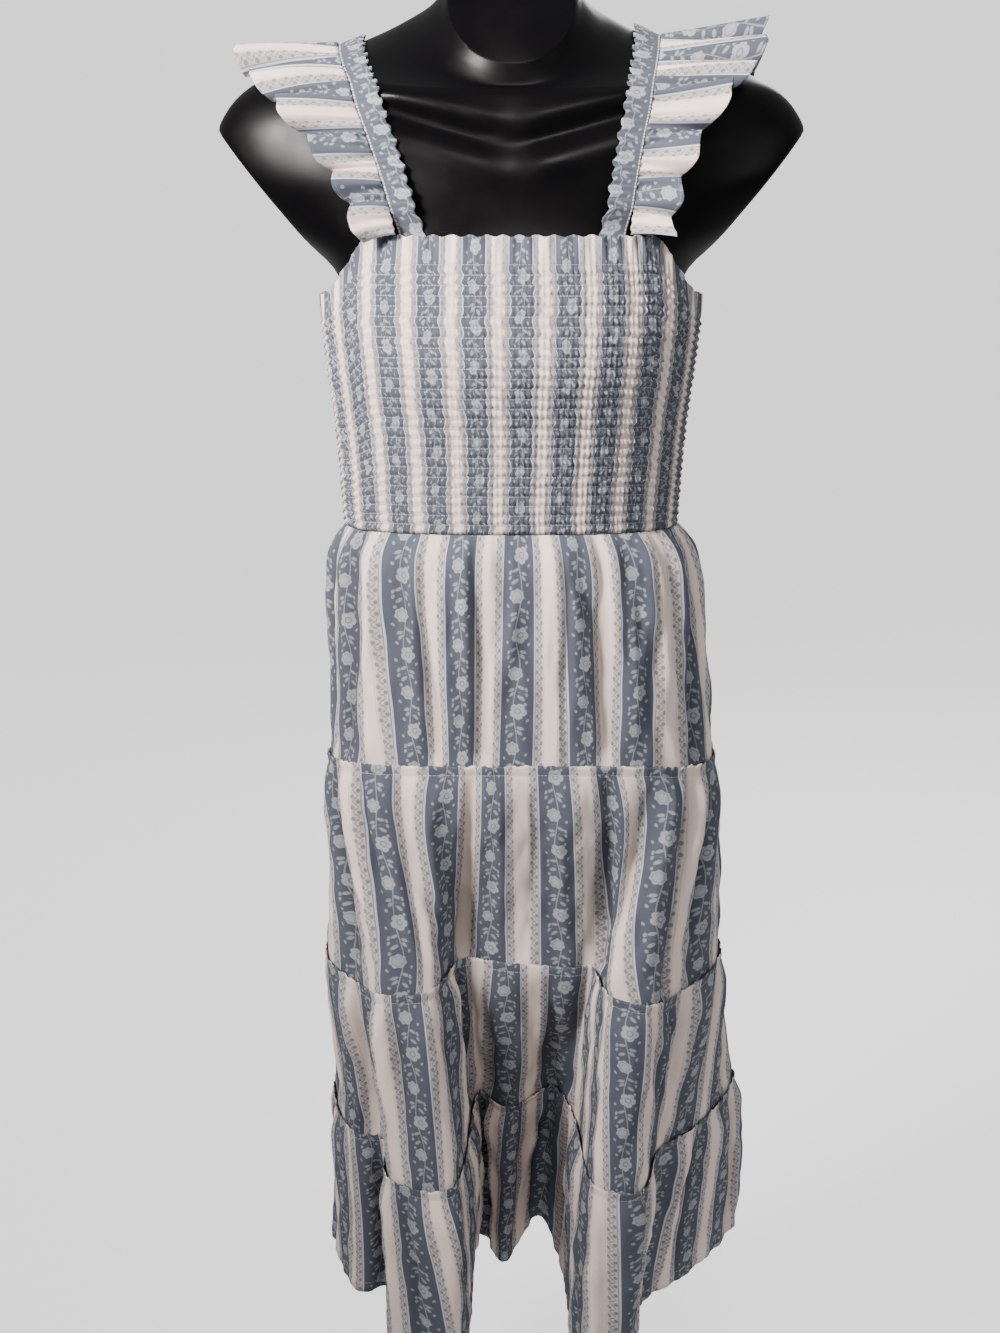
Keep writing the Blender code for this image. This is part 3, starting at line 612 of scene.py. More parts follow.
def lift_off(tree, points, outs, gap):
    """The points, moved along outs where they would lie closer than gap to what they rest on."""
    lifted = points.reshape(-1, 3).copy()
    for i, (point, out) in enumerate(zip(lifted, outs.reshape(-1, 3))):
        way = Vector(out)
        hit, _, _, _ = tree.ray_cast(Vector(point) + way * 0.25, -way)
        if hit is not None and (Vector(point) - hit).dot(way) < gap:
            lifted[i] = hit + way * gap
    return lifted.reshape(points.shape)


def lengths_across(points):
    """Length along each row of points, from its first point."""
    steps = np.linalg.norm(np.diff(points, axis=1), axis=2)
    return np.concatenate([np.zeros((len(points), 1)), np.cumsum(steps, axis=1)], axis=1)


def add_cloth(name, points, uv, seam, hollow, material, nodes, thickness=CLOTH_THICKNESS):
    """Thin shell over a grid of points. uv is each point's place in the cloth, in metres.

    seam holds each point's place along the nearest stitching and its distance from it. hollow is painted
    shade, kept in the folds map: 1 deep in a crease, where the colour is darkened most, and 0 outside it.
    """
    rows, columns = points.shape[:2]
    piece = add_piece(name, points, grid_faces(rows, columns), material, "print_cotton", nodes, 180.0)
    corners = np.array([v for p in piece.data.polygons for v in p.vertices])
    folds = paired(np.clip(hollow, 0.0, 1.0), np.zeros((rows, columns)))
    for layer_name, values in (("cloth", uv), ("seam", seam), ("folds", folds)):
        layer = piece.data.uv_layers.new(name=layer_name)
        layer.data.foreach_set("uv", values.reshape(-1, 2)[corners].astype(np.float32).ravel())
    shell = piece.modifiers.new("cloth thickness", "SOLIDIFY")
    shell.thickness = thickness
    shell.offset = -1.0
    return piece


def even_turns(place, drop, first, columns, side_gap, samples):
    """Turns of half a ring, evenly spaced along its length, and how far along each one lies."""
    turns = np.linspace(first + side_gap, first + 0.5 - side_gap, samples)
    lengths = lengths_across(place(turns, np.full(samples, drop))[None])[0]
    at = np.linspace(0.0, lengths[-1], columns)
    return np.interp(at, lengths, turns), at


def bodice_panel(name, first, nodes, seed, material):
    """Half the bodice, from side seam to side seam, with its puffs, puckers and frilled heading."""
    chance = np.random.RandomState(seed)
    turns, lengths = even_turns(bodice_place, EVEN_DROP, first, BODICE_COLUMNS + 1, SIDE_GAP,
                                BODICE_SAMPLES)
    heading = np.linspace(0.0, 1.0, HEADING_ROWS, endpoint=False)
    puffs = np.linspace(0.0, 1.0, SMOCKING_ROWS * ROWS_PER_PUFF + 1)
    past_heading = np.concatenate([heading, np.ones(len(puffs))])[:, None]
    share = np.concatenate([np.zeros(HEADING_ROWS), puffs])[:, None]
    turn = turns[None, :]
    top = bodice_top_drop(turn)
    waist = WAIST_DROP + side_droop(turn, WAIST_DROP)
    ripple = waves(lengths, RIPPLE_PITCH, 0.8 * np.sin(lengths * 61.0))[None, :]
    frill = HEADING_FRILL * ripple * (1.0 - past_heading)
    drop = mix(top + frill + BODICE_HEADING * past_heading, waist, share)
    plain = bodice_place(turn, drop)
    out = level_outward(bodice_place, turn, drop)
    plain = lift_off(form_tree, plain, out, BODICE_WALL + FORM_CLEARANCE)

    row = share * SMOCKING_ROWS
    row_phase = np.repeat(chance.uniform(-0.9, 0.9, SMOCKING_ROWS + 1), ROWS_PER_PUFF)[:len(puffs)]
    row_phase = np.concatenate([np.full(HEADING_ROWS, row_phase[0]), row_phase])[:, None]
    wander = along(np.linspace(0.0, 1.0, WANDER_KEYS), chance.uniform(-1.3, 1.3, WANDER_KEYS),
                   np.linspace(0.0, 1.0, len(turns)))
    pucker = np.cos(2.0 * np.pi * PUCKERS * lengths / lengths[-1] + wander + row_phase)
    uneven = 1.0 + 0.35 * np.sin(lengths * 143.0 + 1.7 * row)
    puff = np.sin(np.pi * row) ** 2
    low_pucker = 0.5 * PUCKER_RELIEF * pucker
    smocked = SMOCKING_RELIEF * puff * (0.80 + 0.20 * pucker) + low_pucker * uneven * (0.45 + 0.55 * puff)
    standing = HEADING_RIPPLE * (1.0 - past_heading) * ripple + low_pucker * (0.3 + 0.7 * past_heading) + 0.0004
    relief = np.where(past_heading < 1.0, standing, smocked)
    points = plain + out * relief[..., None]

    centre = np.interp(first + 0.25, turns, lengths)
    stretch = PRINT_REPEAT / SMOCKED_REPEAT
    jitter = ROW_JITTER * np.sin(np.pi * row + 5.0 * row_phase)
    u = (lengths - centre - FRONT_CREAM_STRIPE + jitter) * stretch + PRINT_REPEAT / 2.0
    v = (drop - TOP_DROP_FRONT) * DROP_STRETCH
    row_pitch = (WAIST_DROP - TOP_DROP_FRONT - BODICE_HEADING) / SMOCKING_ROWS
    off_thread = np.where(past_heading < 1.0, 1.0, np.abs(row - np.round(row))) * row_pitch
    # Painted shade: darker along the thread rows between the puffs, and in the pucker troughs.
    hollow = np.where(past_heading < 1.0, 0.0, 0.55 * (1.0 - puff)) - 0.25 * pucker
    piece = add_cloth(name, points, paired(u, -v), paired(lengths, off_thread), hollow, material, nodes)
    return piece


smocked_cotton = print_cotton("smocked print cotton", stitch_pitch=0.0023, thread_half_width=0.00042,
                              thread_cover=0.50, vine_ground=0.62)
bodice_pieces = [
    bodice_panel("smocked_bodice_front", 0.0, ["bodice_front"], 3, smocked_cotton),
    bodice_panel("smocked_bodice_back", 0.5, ["bodice_back"], 4, smocked_cotton),
]

# Skirt: four gathered tiers of the same cotton, front and back panels joined at the side seams. Each lower
# tier laps over the one above with a narrow frilled heading, and the last has a narrow turned hem.

SKIRT_LEAN = (0.000, 0.010, 0.012, 0.010, 0.004)
TIER_HEADING = 0.008
TIER_ALLOWANCE = 0.002
TIER_COLUMNS = 300
TIER_SAMPLES = 600
EVEN_SHARE = 0.55
HEM_TURN = 0.010
LAP = 0.0014
SIDE_SEAM_FADE = 0.010
FINE_FADE = 0.014
CREASE_FADE = 0.020
RUMPLE_FADE = 0.030
TIER_ROWS = (40, 42, 40, 40)
HEADING_STEPS = (1.0, 0.7, 0.4, 0.15)
HEM_FOLD = 0.001
HEM_RELIEF = 0.0005
GATHERS_ACROSS = 10.0
STITCH_DIP = 0.0006
STITCH_WIDTH = 0.0012
FRILL_HEIGHT = 0.0009
FRILL_PITCH = 0.0105
# Depth of a trough at which its painted shade is full.
FULL_SHADE_DEPTH = 0.0080
PRINT_SHIFT = 0.037
CREASE_REACH = 0.03
CREASE_WANDER = 0.0012

Fold = namedtuple("Fold", "name knee_x knee_y knee_lift hem_x hem_y hem_lift")
Gather = namedtuple("Gather", "share height")
FineGather = namedtuple("FineGather", "pitch height fade")
Rumple = namedtuple("Rumple", "pitch height")
HIP_SECTIONS = (
    Section(WAIST_DROP, 0.1375, 0.0950, 0.0830),
    Section(0.395, 0.1475, 0.1040, 0.0910),
    Section(0.445, 0.1550, 0.1100, 0.0990),
    Section(0.567, 0.1640, 0.1110, 0.1060),
)
FRONT_FOLDS = tuple(Fold(*row) for row in (
    ("right_side", -0.172, -0.010, -0.002, -0.150, 0.012, 0.000),
    ("right_dip", -0.142, -0.066, -0.002, -0.116, 0.008, 0.000),
    ("right_fold_outer", -0.116, -0.108, 0.000, -0.108, -0.098, 0.000),
    ("right_fold_inner", -0.080, -0.112, 0.000, -0.050, -0.124, 0.000),
    ("centre_dip_right", -0.052, -0.062, 0.000, -0.034, 0.034, 0.034),
    ("centre_rib", -0.010, -0.078, 0.000, -0.010, 0.004, 0.026),
    ("centre_dip_left", 0.036, -0.084, 0.000, 0.026, 0.046, 0.046),
    ("left_fold_root", 0.058, -0.078, 0.000, 0.046, -0.010, 0.018),
    ("left_fold_inner", 0.072, -0.114, -0.004, 0.056, -0.112, 0.000),
    ("left_fold_outer", 0.100, -0.120, -0.006, 0.098, -0.116, 0.000),
    ("left_dip", 0.128, -0.084, -0.006, 0.118, -0.014, 0.000),
))
BACK_FOLDS = tuple(Fold(*row) for row in (
    ("left_side", 0.170, -0.012, -0.004, 0.164, 0.034, 0.000),
    ("back_corner_left", 0.166, 0.068, -0.004, 0.224, 0.124, 0.000),
    ("back_dip_1", 0.124, 0.092, -0.005, 0.164, 0.098, 0.000),
    ("back_ridge_1", 0.085, 0.112, 0.000, 0.114, 0.138, 0.000),
    ("back_dip_2", 0.045, 0.100, 0.000, 0.066, 0.102, 0.000),
    ("back_ridge_2", 0.004, 0.114, 0.000, 0.012, 0.140, 0.000),
    ("back_dip_3", -0.040, 0.100, 0.000, -0.044, 0.102, 0.000),
    ("back_ridge_3", -0.085, 0.111, 0.000, -0.098, 0.137, 0.000),
    ("back_dip_4", -0.126, 0.089, -0.003, -0.138, 0.106, 0.000),
    ("back_corner_right", -0.164, 0.058, -0.006, -0.180, 0.124, 0.000),
))
GATHERS = (
    Gather(0.00, 0.0010),
    Gather(0.14, 0.0064),
    Gather(0.42, 0.0044),
    Gather(0.72, 0.0020),
    Gather(1.00, 0.0000),
)
FINE_GATHERS = (
    FineGather(0.0066, 0.0009, 16.0),
    FineGather(0.0115, 0.0013, 8.0),
    FineGather(0.0205, 0.0018, 4.5),
)
RUMPLES = (
    Rumple(0.034, 0.00085),
    Rumple(0.019, 0.00045),
    Rumple(0.011, 0.00022),
)
FOLDS = FRONT_FOLDS + BACK_FOLDS


def fold_turns():
    """Each fold key's turn: by the cloth's length between keys, with the side seams at 0 and 0.5."""
    turns = []
    for start, keys in ((0.0, FRONT_FOLDS + BACK_FOLDS[:1]), (0.5, BACK_FOLDS + FRONT_FOLDS[:1])):
        steps = [math.hypot(a.knee_x - b.knee_x, a.knee_y - b.knee_y) +
                 math.hypot(a.hem_x - b.hem_x, a.hem_y - b.hem_y) for a, b in zip(keys, keys[1:])]
        turns += [start + 0.5 * sum(steps[:i]) / sum(steps) for i in range(len(steps))]
    return np.array(turns)


FOLD_TURNS = fold_turns()


def around(name, turn):
    """Smooth closed curve through one value for each fold."""
    values = np.array([getattr(fold, name) for fold in FOLDS])
    turn = turn % 1.0
    n = len(FOLDS)
    keys = np.concatenate([FOLD_TURNS - 1.0, FOLD_TURNS, FOLD_TURNS + 1.0])
    values = np.concatenate([values, values, values])
    i = np.clip(np.searchsorted(keys, turn + 1e-12, side="right") - 1, n, 2 * n - 1)
    span = keys[i + 1] - keys[i]
    slope = (values[2:] - values[:-2]) / (keys[2:] - keys[:-2])
    return hermite(values[i], values[i + 1], slope[i - 1] * span, slope[i] * span, (turn - keys[i]) / span)


def skirt_place(turn, drop):
    """Outer face of the plain skirt, with its large folds but without its gathers."""
    turn, drop = np.broadcast_arrays(np.asarray(turn, float), np.asarray(drop, float))
    hip_x, hip_y = ring_at(HIP_SECTIONS, turn, drop)
    hip_drop, knee_drop, hem_drop = TIER_DROPS[1], TIER_DROPS[2], TIER_DROPS[4]
    to_knee = ease((drop - hip_drop) / (knee_drop - hip_drop))
    to_hem = np.sin(0.5 * np.pi * np.clip((drop - knee_drop) / (hem_drop - knee_drop), 0.0, 1.0))
    x, y = (mix(mix(hip, around("knee_" + axis, turn), to_knee), around("hem_" + axis, turn), to_hem)
            for hip, axis in ((hip_x, "x"), (hip_y, "y")))
    knee_share = ease((drop - WAIST_DROP) / (knee_drop - WAIST_DROP))
    hem_share = ease((drop - knee_drop) / (hem_drop - knee_drop))
    lift = mix(around("knee_lift", turn), around("hem_lift", turn), hem_share) * knee_share
    x = x + along(TIER_DROPS, SKIRT_LEAN, drop)
    return np.stack([x, y, SHOULDER_Z - drop - side_droop(turn, drop) + lift], axis=-1)


def facing(points):
    """Way out of each point of a grid, and how hollow the cloth is there, from -1 to 1."""
    down = np.gradient(points, axis=0)
    across = np.gradient(points, axis=1)
    normal = unit(np.cross(down, across))
    step = np.linalg.norm(across, axis=-1, keepdims=True)
    bend = np.gradient(across / np.maximum(step, 1e-9), axis=1)
    return normal, (bend * normal).sum(axis=-1) / np.maximum(step[..., 0], 1e-6)


# One group of creases for each tier. A crease runs from its turn and share of the tier's height to another.
Crease = namedtuple("Crease", "turn share to_turn to_share width depth")
CREASES = tuple(tuple(Crease(*row) for row in rows) for rows in (
    (
        (0.092, -0.10, 0.078, 1.10, 0.0099, -0.0085), (0.118, 0.00, 0.126, 1.00, 0.0088, 0.0044),
        (0.176, -0.05, 0.186, 1.10, 0.0056, -0.0095), (0.196, 0.02, 0.200, 0.90, 0.0064, 0.0051),
        (0.226, -0.05, 0.221, 1.12, 0.0063, -0.0107), (0.252, 0.05, 0.240, 0.70, 0.0056, 0.0037),
        (0.288, 0.02, 0.276, 1.05, 0.0043, -0.0044), (0.322, -0.08, 0.307, 1.15, 0.0073, -0.0116),
        (0.350, 0.10, 0.336, 0.90, 0.0072, 0.0046), (0.384, 0.04, 0.366, 0.60, 0.0040, -0.0041),
        (0.446, -0.10, 0.414, 1.12, 0.0086, -0.0095), (0.030, 0.02, 0.036, 0.95, 0.0073, -0.0073),
        (0.536, 0.00, 0.528, 1.00, 0.0073, -0.0085), (0.582, 0.05, 0.590, 0.85, 0.0072, 0.0048),
        (0.622, -0.04, 0.632, 1.08, 0.0073, -0.0098), (0.688, 0.02, 0.680, 0.72, 0.0053, -0.0054),
        (0.742, -0.04, 0.736, 1.10, 0.0079, -0.0105), (0.786, 0.05, 0.796, 0.90, 0.0072, 0.0048),
        (0.842, 0.00, 0.850, 1.05, 0.0069, -0.0088), (0.902, 0.06, 0.894, 0.80, 0.0053, -0.0056),
        (0.956, 0.00, 0.962, 1.00, 0.0073, -0.0081),
    ),
    (
        (0.046, -0.05, 0.030, 1.00, 0.0092, -0.0081), (0.108, 0.02, 0.092, 0.90, 0.0053, -0.0046),
        (0.150, -0.02, 0.124, 1.10, 0.0053, -0.0063), (0.188, 0.04, 0.166, 0.60, 0.0056, 0.0037),
        (0.216, -0.10, 0.210, 1.15, 0.0073, -0.0122), (0.236, 0.05, 0.236, 0.95, 0.0060, 0.0044),
        (0.256, 0.06, 0.254, 0.80, 0.0040, -0.0037), (0.268, 0.10, 0.280, 0.95, 0.0072, 0.0040),
        (0.309, -0.10, 0.326, 1.12, 0.0079, -0.0134), (0.344, 0.05, 0.350, 0.70, 0.0046, -0.0049),
        (0.374, 0.02, 0.384, 0.95, 0.0064, 0.0040), (0.398, 0.00, 0.426, 1.06, 0.0056, -0.0071),
        (0.452, 0.06, 0.462, 0.90, 0.0066, -0.0059), (0.556, -0.02, 0.548, 1.04, 0.0073, -0.0083),
        (0.606, 0.04, 0.618, 0.84, 0.0056, -0.0054), (0.668, -0.04, 0.660, 1.06, 0.0076, -0.0098),
        (0.716, 0.06, 0.724, 0.76, 0.0064, 0.0044), (0.764, 0.00, 0.774, 1.05, 0.0073, -0.0093),
        (0.828, 0.04, 0.820, 0.80, 0.0053, -0.0056), (0.884, -0.02, 0.892, 1.05, 0.0073, -0.0085),
        (0.944, 0.05, 0.938, 0.88, 0.0059, -0.0061),
    ),
    (
        (0.034, -0.04, 0.020, 1.05, 0.0073, -0.0085), (0.068, 0.02, 0.062, 0.90, 0.0062, -0.0061),
        (0.098, 0.04, 0.106, 0.80, 0.0062, -0.0041), (0.124, -0.02, 0.118, 1.04, 0.0062, 0.0040),
        (0.196, -0.04, 0.200, 1.05, 0.0062, -0.0073), (0.228, 0.02, 0.226, 0.95, 0.0062, -0.0071),
        (0.246, 0.06, 0.250, 0.80, 0.0062, 0.0037), (0.268, -0.02, 0.272, 1.02, 0.0062, -0.0068),
        (0.292, 0.04, 0.296, 0.94, 0.0062, -0.0049), (0.386, 0.04, 0.384, 0.82, 0.0062, -0.0039),
        (0.430, -0.04, 0.424, 1.05, 0.0073, -0.0098), (0.466, 0.02, 0.456, 0.92, 0.0064, 0.0044),
        (0.536, -0.02, 0.542, 1.04, 0.0079, -0.0093), (0.600, 0.04, 0.608, 0.80, 0.0062, -0.0061),
        (0.656, -0.03, 0.650, 1.04, 0.0076, -0.0098), (0.722, 0.05, 0.730, 0.86, 0.0062, -0.0056),
        (0.782, -0.02, 0.776, 1.05, 0.0079, -0.0098), (0.846, 0.05, 0.852, 0.80, 0.0062, -0.0059),
        (0.908, -0.02, 0.902, 1.04, 0.0073, -0.0088), (0.968, 0.04, 0.974, 0.92, 0.0062, -0.0059),
    ),
    (
        (0.024, -0.04, 0.030, 1.08, 0.0073, -0.0085), (0.056, 0.04, 0.062, 0.90, 0.0062, -0.0054),
        (0.104, -0.02, 0.112, 1.08, 0.0062, -0.0049), (0.128, 0.06, 0.124, 0.84, 0.0062, 0.0040),
        (0.200, -0.04, 0.204, 1.10, 0.0068, 0.0066), (0.222, -0.02, 0.224, 1.10, 0.0062, -0.0098),
        (0.244, 0.00, 0.244, 1.10, 0.0062, 0.0062), (0.268, -0.02, 0.272, 1.10, 0.0062, -0.0068),
        (0.300, 0.04, 0.304, 1.00, 0.0062, -0.0056), (0.372, 0.00, 0.376, 1.08, 0.0062, -0.0054),
        (0.402, 0.04, 0.406, 0.90, 0.0062, -0.0049), (0.436, -0.04, 0.432, 1.10, 0.0073, -0.0098),
        (0.472, 0.02, 0.470, 1.05, 0.0068, 0.0051), (0.490, 0.02, 0.486, 1.05, 0.0062, -0.0061),
        (0.548, -0.02, 0.556, 1.08, 0.0079, -0.0095), (0.612, 0.04, 0.606, 0.90, 0.0062, -0.0061),
        (0.672, -0.04, 0.680, 1.10, 0.0079, -0.0102), (0.738, 0.04, 0.732, 0.84, 0.0062, -0.0056),
        (0.800, -0.02, 0.808, 1.10, 0.0079, -0.0098), (0.868, 0.05, 0.862, 0.90, 0.0062, -0.0061),
        (0.934, -0.02, 0.928, 1.08, 0.0076, -0.0088),
    ),
))


def crease_relief(creases, lengths, turn, share):
    """Soft troughs and ridges of one tier, fading at both ends. lengths are along the tier's cloth."""
    relief = np.zeros(np.broadcast(lengths, share).shape)
    for crease in creases:
        if not turn[0] - CREASE_REACH < crease.turn < turn[-1] + CREASE_REACH:
            continue
        start, end = (np.array([np.interp(at, turn, row) for row in lengths])[:, None]
                      for at in (crease.turn, crease.to_turn))
        t = (share - crease.share) / (crease.to_share - crease.share)
        inside = np.clip(t, 0.0, 1.0)
        wander = CREASE_WANDER * np.sin(9.0 * t + 40.0 * crease.turn)
        off = (lengths - mix(start, end, inside) - wander) / (crease.width * mix(0.75, 1.15, inside))
        relief += crease.depth * np.exp(-off * off) * np.sin(np.pi * inside) ** 0.6
    return relief


# One group of marks for each tier's front. Slate stripes are whole numbers, and cream ones lie halfway between.
StripeMark = namedtuple("StripeMark", "stripe top_turn bottom_turn")
STRIPE_MARKS = tuple(tuple(StripeMark(*row) for row in rows) for rows in (
    (
        (-2.3, 0.000, 0.000), (-1.0, 0.082, 0.075), (-0.5, 0.112, 0.125), (0.0, 0.155, 0.170),
        (0.5, 0.186, 0.188), (1.0, 0.213, 0.207), (1.5, 0.236, 0.226), (2.0, 0.255, 0.244),
        (2.5, 0.274, 0.266), (3.0, 0.299, 0.293), (3.5, 0.323, 0.310), (4.0, 0.354, 0.335),
        (4.5, 0.394, 0.377), (5.0, 0.434, 0.426), (6.2, 0.500, 0.500),
    ),
    (
        (-1.6, 0.000, 0.000), (-1.0, 0.036, 0.030), (-0.5, 0.082, 0.066), (0.0, 0.128, 0.106),
        (0.5, 0.163, 0.130), (1.0, 0.196, 0.176), (1.5, 0.215, 0.211), (2.0, 0.231, 0.229),
        (2.5, 0.248, 0.248), (3.0, 0.268, 0.274), (3.5, 0.291, 0.303), (4.0, 0.309, 0.344),
        (4.5, 0.328, 0.371), (5.0, 0.361, 0.401), (5.5, 0.408, 0.444), (6.0, 0.455, 0.474),
        (6.6, 0.500, 0.500),
    ),
    (
        (-1.2, 0.000, 0.000), (-0.5, 0.030, 0.026), (0.0, 0.058, 0.056), (0.5, 0.088, 0.098),
        (1.0, 0.112, 0.115), (1.5, 0.134, 0.128), (3.0, 0.203, 0.188), (3.5, 0.223, 0.212),
        (4.0, 0.239, 0.240), (4.5, 0.256, 0.259), (5.0, 0.276, 0.281), (5.5, 0.304, 0.309),
        (7.5, 0.356, 0.367), (8.0, 0.376, 0.379), (8.5, 0.399, 0.393), (9.5, 0.455, 0.449),
        (10.0, 0.484, 0.474), (10.4, 0.500, 0.500),
    ),
    (
        (-0.4, 0.000, 0.000), (0.0, 0.020, 0.025), (1.5, 0.088, 0.099), (2.0, 0.105, 0.117),
        (2.5, 0.119, 0.134), (5.5, 0.193, 0.200), (6.0, 0.220, 0.222), (7.0, 0.245, 0.243),
        (7.5, 0.259, 0.258), (8.0, 0.281, 0.281), (8.5, 0.305, 0.306), (10.5, 0.368, 0.374),
        (11.0, 0.389, 0.396), (12.0, 0.453, 0.444), (12.5, 0.484, 0.474), (13.0, 0.500, 0.500),
    ),
))
BACK_STRIPES = (8.5, 9.0, 10.5, 12.5)


def stripe_places(tier, half, turn, fraction, share):
    """Number of the stripe that runs through each point, front by the marks and back evenly."""
    marks = STRIPE_MARKS[tier]
    if half:
        return marks[-1].stripe + fraction * BACK_STRIPES[tier]
    numbers = [mark.stripe for mark in marks]
    return np.array([along([mix(mark.top_turn, mark.bottom_turn, float(level)) for mark in marks], numbers, turn)
                     for level in np.clip(share[:, 0], 0.0, 1.0)])


def any_phase(chance):
    return chance.uniform(0.0, 6.28)


def small_gathers(lengths, share, chance):
    """Fine uneven gathers: strongest at the stitching and gone a third of the way down."""
    below = np.clip(share, 0.0, 1.0)
    relief = 0.0 * (lengths + share)
    for pitch, height, fade in FINE_GATHERS:
        phase = any_phase(chance)
        wander = 1.8 * np.sin(lengths * chance.uniform(18.0, 32.0) + any_phase(chance))
        strength = 0.65 + 0.35 * np.sin(lengths * chance.uniform(24.0, 44.0) + any_phase(chance))
        relief += height * strength * (0.5 + 0.5 * waves(lengths, pitch, phase + wander)) * np.exp(-below * fade)
    return relief


def crumples(lengths, drops, chance):
    """Shallow random rumples of worn cotton, longer down the cloth than across it."""
    relief = 0.0 * (lengths + drops)
    for pitch, height in RUMPLES:
        for _ in range(3):
            lean = chance.uniform(-0.45, 0.45)
            bend = chance.uniform(-1.5, 1.5)
            bend = bend * np.sin(drops * chance.uniform(20.0, 45.0) + any_phase(chance))
            wave = waves(lengths + lean * drops, pitch * chance.uniform(0.8, 1.3), bend)
            relief += height * wave * np.sin(drops * chance.uniform(25.0, 60.0) + any_phase(chance))
    return relief


def tier_levels(tier, top, bottom, last):
    """Drops of a tier's rows of points, with its heading and, on the last tier, the edge of its hem."""
    heading = -TIER_HEADING * np.array(HEADING_STEPS if tier else ())
    body = np.linspace(0.0, 1.0, TIER_ROWS[tier]) ** 1.25 * (bottom - top)
    drops = top + np.concatenate([heading, body])
    drops[-1] = bottom if last else bottom + TIER_ALLOWANCE
    if last:
        drops = np.sort(np.append(drops, bottom - HEM_TURN + np.array([-HEM_FOLD, 0.0, HEM_FOLD])))
    if tier == 0:
        drops[0] += SEAM_GAP
    return drops[:, None]


def tier_panel(tier, half, material):
    """Half a tier, from one side seam to the other, gathered and lapped over the tier above."""
    chance = np.random.RandomState(20 + 2 * tier + half)
    first = 0.5 * half
    top, bottom = TIER_DROPS[tier:tier + 2]
    last = tier == len(TIER_DROPS) - 2
    height = bottom - top
    drops = tier_levels(tier, top, bottom, last)
    from_top = drops - top
    share = from_top / height
    even_drop = mix(top, bottom, EVEN_SHARE)
    turn, _ = even_turns(skirt_place, even_drop, first, TIER_COLUMNS + 1, 0.0, TIER_SAMPLES)
    plain = skirt_place(turn[None, :], drops)
    out, bend = facing(plain)
    lengths = lengths_across(plain)
    middle = lengths[len(lengths) // 2][None, :]

    below = np.clip(share, 0.0, 1.0)
    edge_fade = 1.0 if last else 1.0 - ease((below - 0.90) / 0.10)
    across = (turn - first)[None, :] / 0.5
    uneven = 0.5 * np.sin(6.0 * np.pi * across + tier) + 0.35 * np.sin(10.0 * np.pi * across + 2.0 * half)
    gather = 0.5 - 0.5 * np.cos(2.0 * np.pi * GATHERS_ACROSS * across + uneven)
    gather_shares, gather_heights = columns_of(GATHERS)
    tall = along(gather_shares, gather_heights, below) * np.clip(1.0 - 0.010 * np.maximum(bend, 0.0), 0.0, 1.0)
    fine = small_gathers(middle, share, chance) * (0.35 + 0.65 * ease(np.abs(from_top) / FINE_FADE)) * edge_fade
    creases = crease_relief(CREASES[tier], lengths, turn, share)
    creases *= edge_fade * ease((from_top + TIER_HEADING) / CREASE_FADE)
    rumples = crumples(middle, drops, chance) * edge_fade * ease(from_top / RUMPLE_FADE)
    from_side = np.minimum(lengths, lengths[:, -1:] - lengths)
    relief = (tall * gather + fine + creases + rumples) * ease(from_side / SIDE_SEAM_FADE)
    if tier:
        relief += LAP * (1.0 - ease(share)) + 0.0003 * ease(-from_top / TIER_HEADING)
    relief -= STITCH_DIP * np.exp(-(from_top / STITCH_WIDTH) ** 2)
    if last:
        relief += HEM_RELIEF * ease((drops - bottom + HEM_TURN) / HEM_FOLD)
    points = plain + out * relief[..., None]
    frill = FRILL_HEIGHT * waves(middle, FRILL_PITCH, 1.3 * np.sin(middle * 75.0))
    frill = frill * (0.6 + 0.4 * np.sin(middle * 41.0)) + 0.0004 * waves(middle, 0.0043)
    points[..., 2] += frill * ease(-from_top / TIER_HEADING)

    stripes = stripe_places(tier, half, turn, lengths / lengths[:, -1:], share)
    uv = paired(stripes * PRINT_REPEAT, -(from_top + PRINT_SHIFT * tier))
    stitch = np.abs(from_top)
    if last:
        stitch = np.minimum(stitch, np.abs(drops - bottom + HEM_TURN))
    # Painted shade: the colour darkens in crease troughs, gather valleys, rumples and fine gathers.
    hollow = -(creases + tall * (gather - 0.6) + rumples + 0.6 * fine - 0.0008) / FULL_SHADE_DEPTH
    side = "back" if half else "front"
    piece = add_cloth(f"skirt_tier_{tier + 1}_{side}", points, uv, paired(middle, stitch), hollow, material,
                      [f"tier_{tier + 1}_{side}"])
    flat_width = float(stripes[-1, -1] - stripes[-1, 0]) * PRINT_REPEAT


skirt_cotton = print_cotton("skirt print cotton", stitch_pitch=0.0030, thread_half_width=0.0003,
                            thread_cover=0.45, vine_ground=0.16)
for tier in range(len(TIER_DROPS) - 1):
    for half in (0, 1):
        tier_panel(tier, half, skirt_cotton)

# Straps: a lengthwise strip of the flowered stripe over each shoulder, puckered along its neck edge by
# a gathering thread, with its ends tucked behind the top of the smocked bodice.

STRAP_WIDTH = 0.020
STRAP_CLEARANCE = 0.0012
STRAP_WALL = 0.0014
STRAP_LAP = 0.019
STRAP_STEPS = 36
STRAP_CENTRE_DROP = 0.115
STRAP_COLUMNS = 260
STRAP_LINES = 12
STRAP_PUCKERS = 84
STITCH_FROM_EDGE = 0.0011
STRAP_TUCK = 0.012
STRAP_BEHIND = 0.0016
STRAP_FULLNESS = 1.20
STRAP_PRINT = (-0.0050, 0.0132)
STRAP_THICKNESS = 0.0007
STRAP_PUCKER = 0.0011
STRAP_RIPPLE = 0.00035
STRAP_SHIRR = 0.0004
NECK_EDGE_DIP = 0.0003
NECK_EDGE_WAVE = 0.0013
BEHIND_START = 0.024
BEHIND_SPAN = 0.020
FRONT_BAND_RADIUS = 0.11
BACK_BAND_RADIUS = 0.10

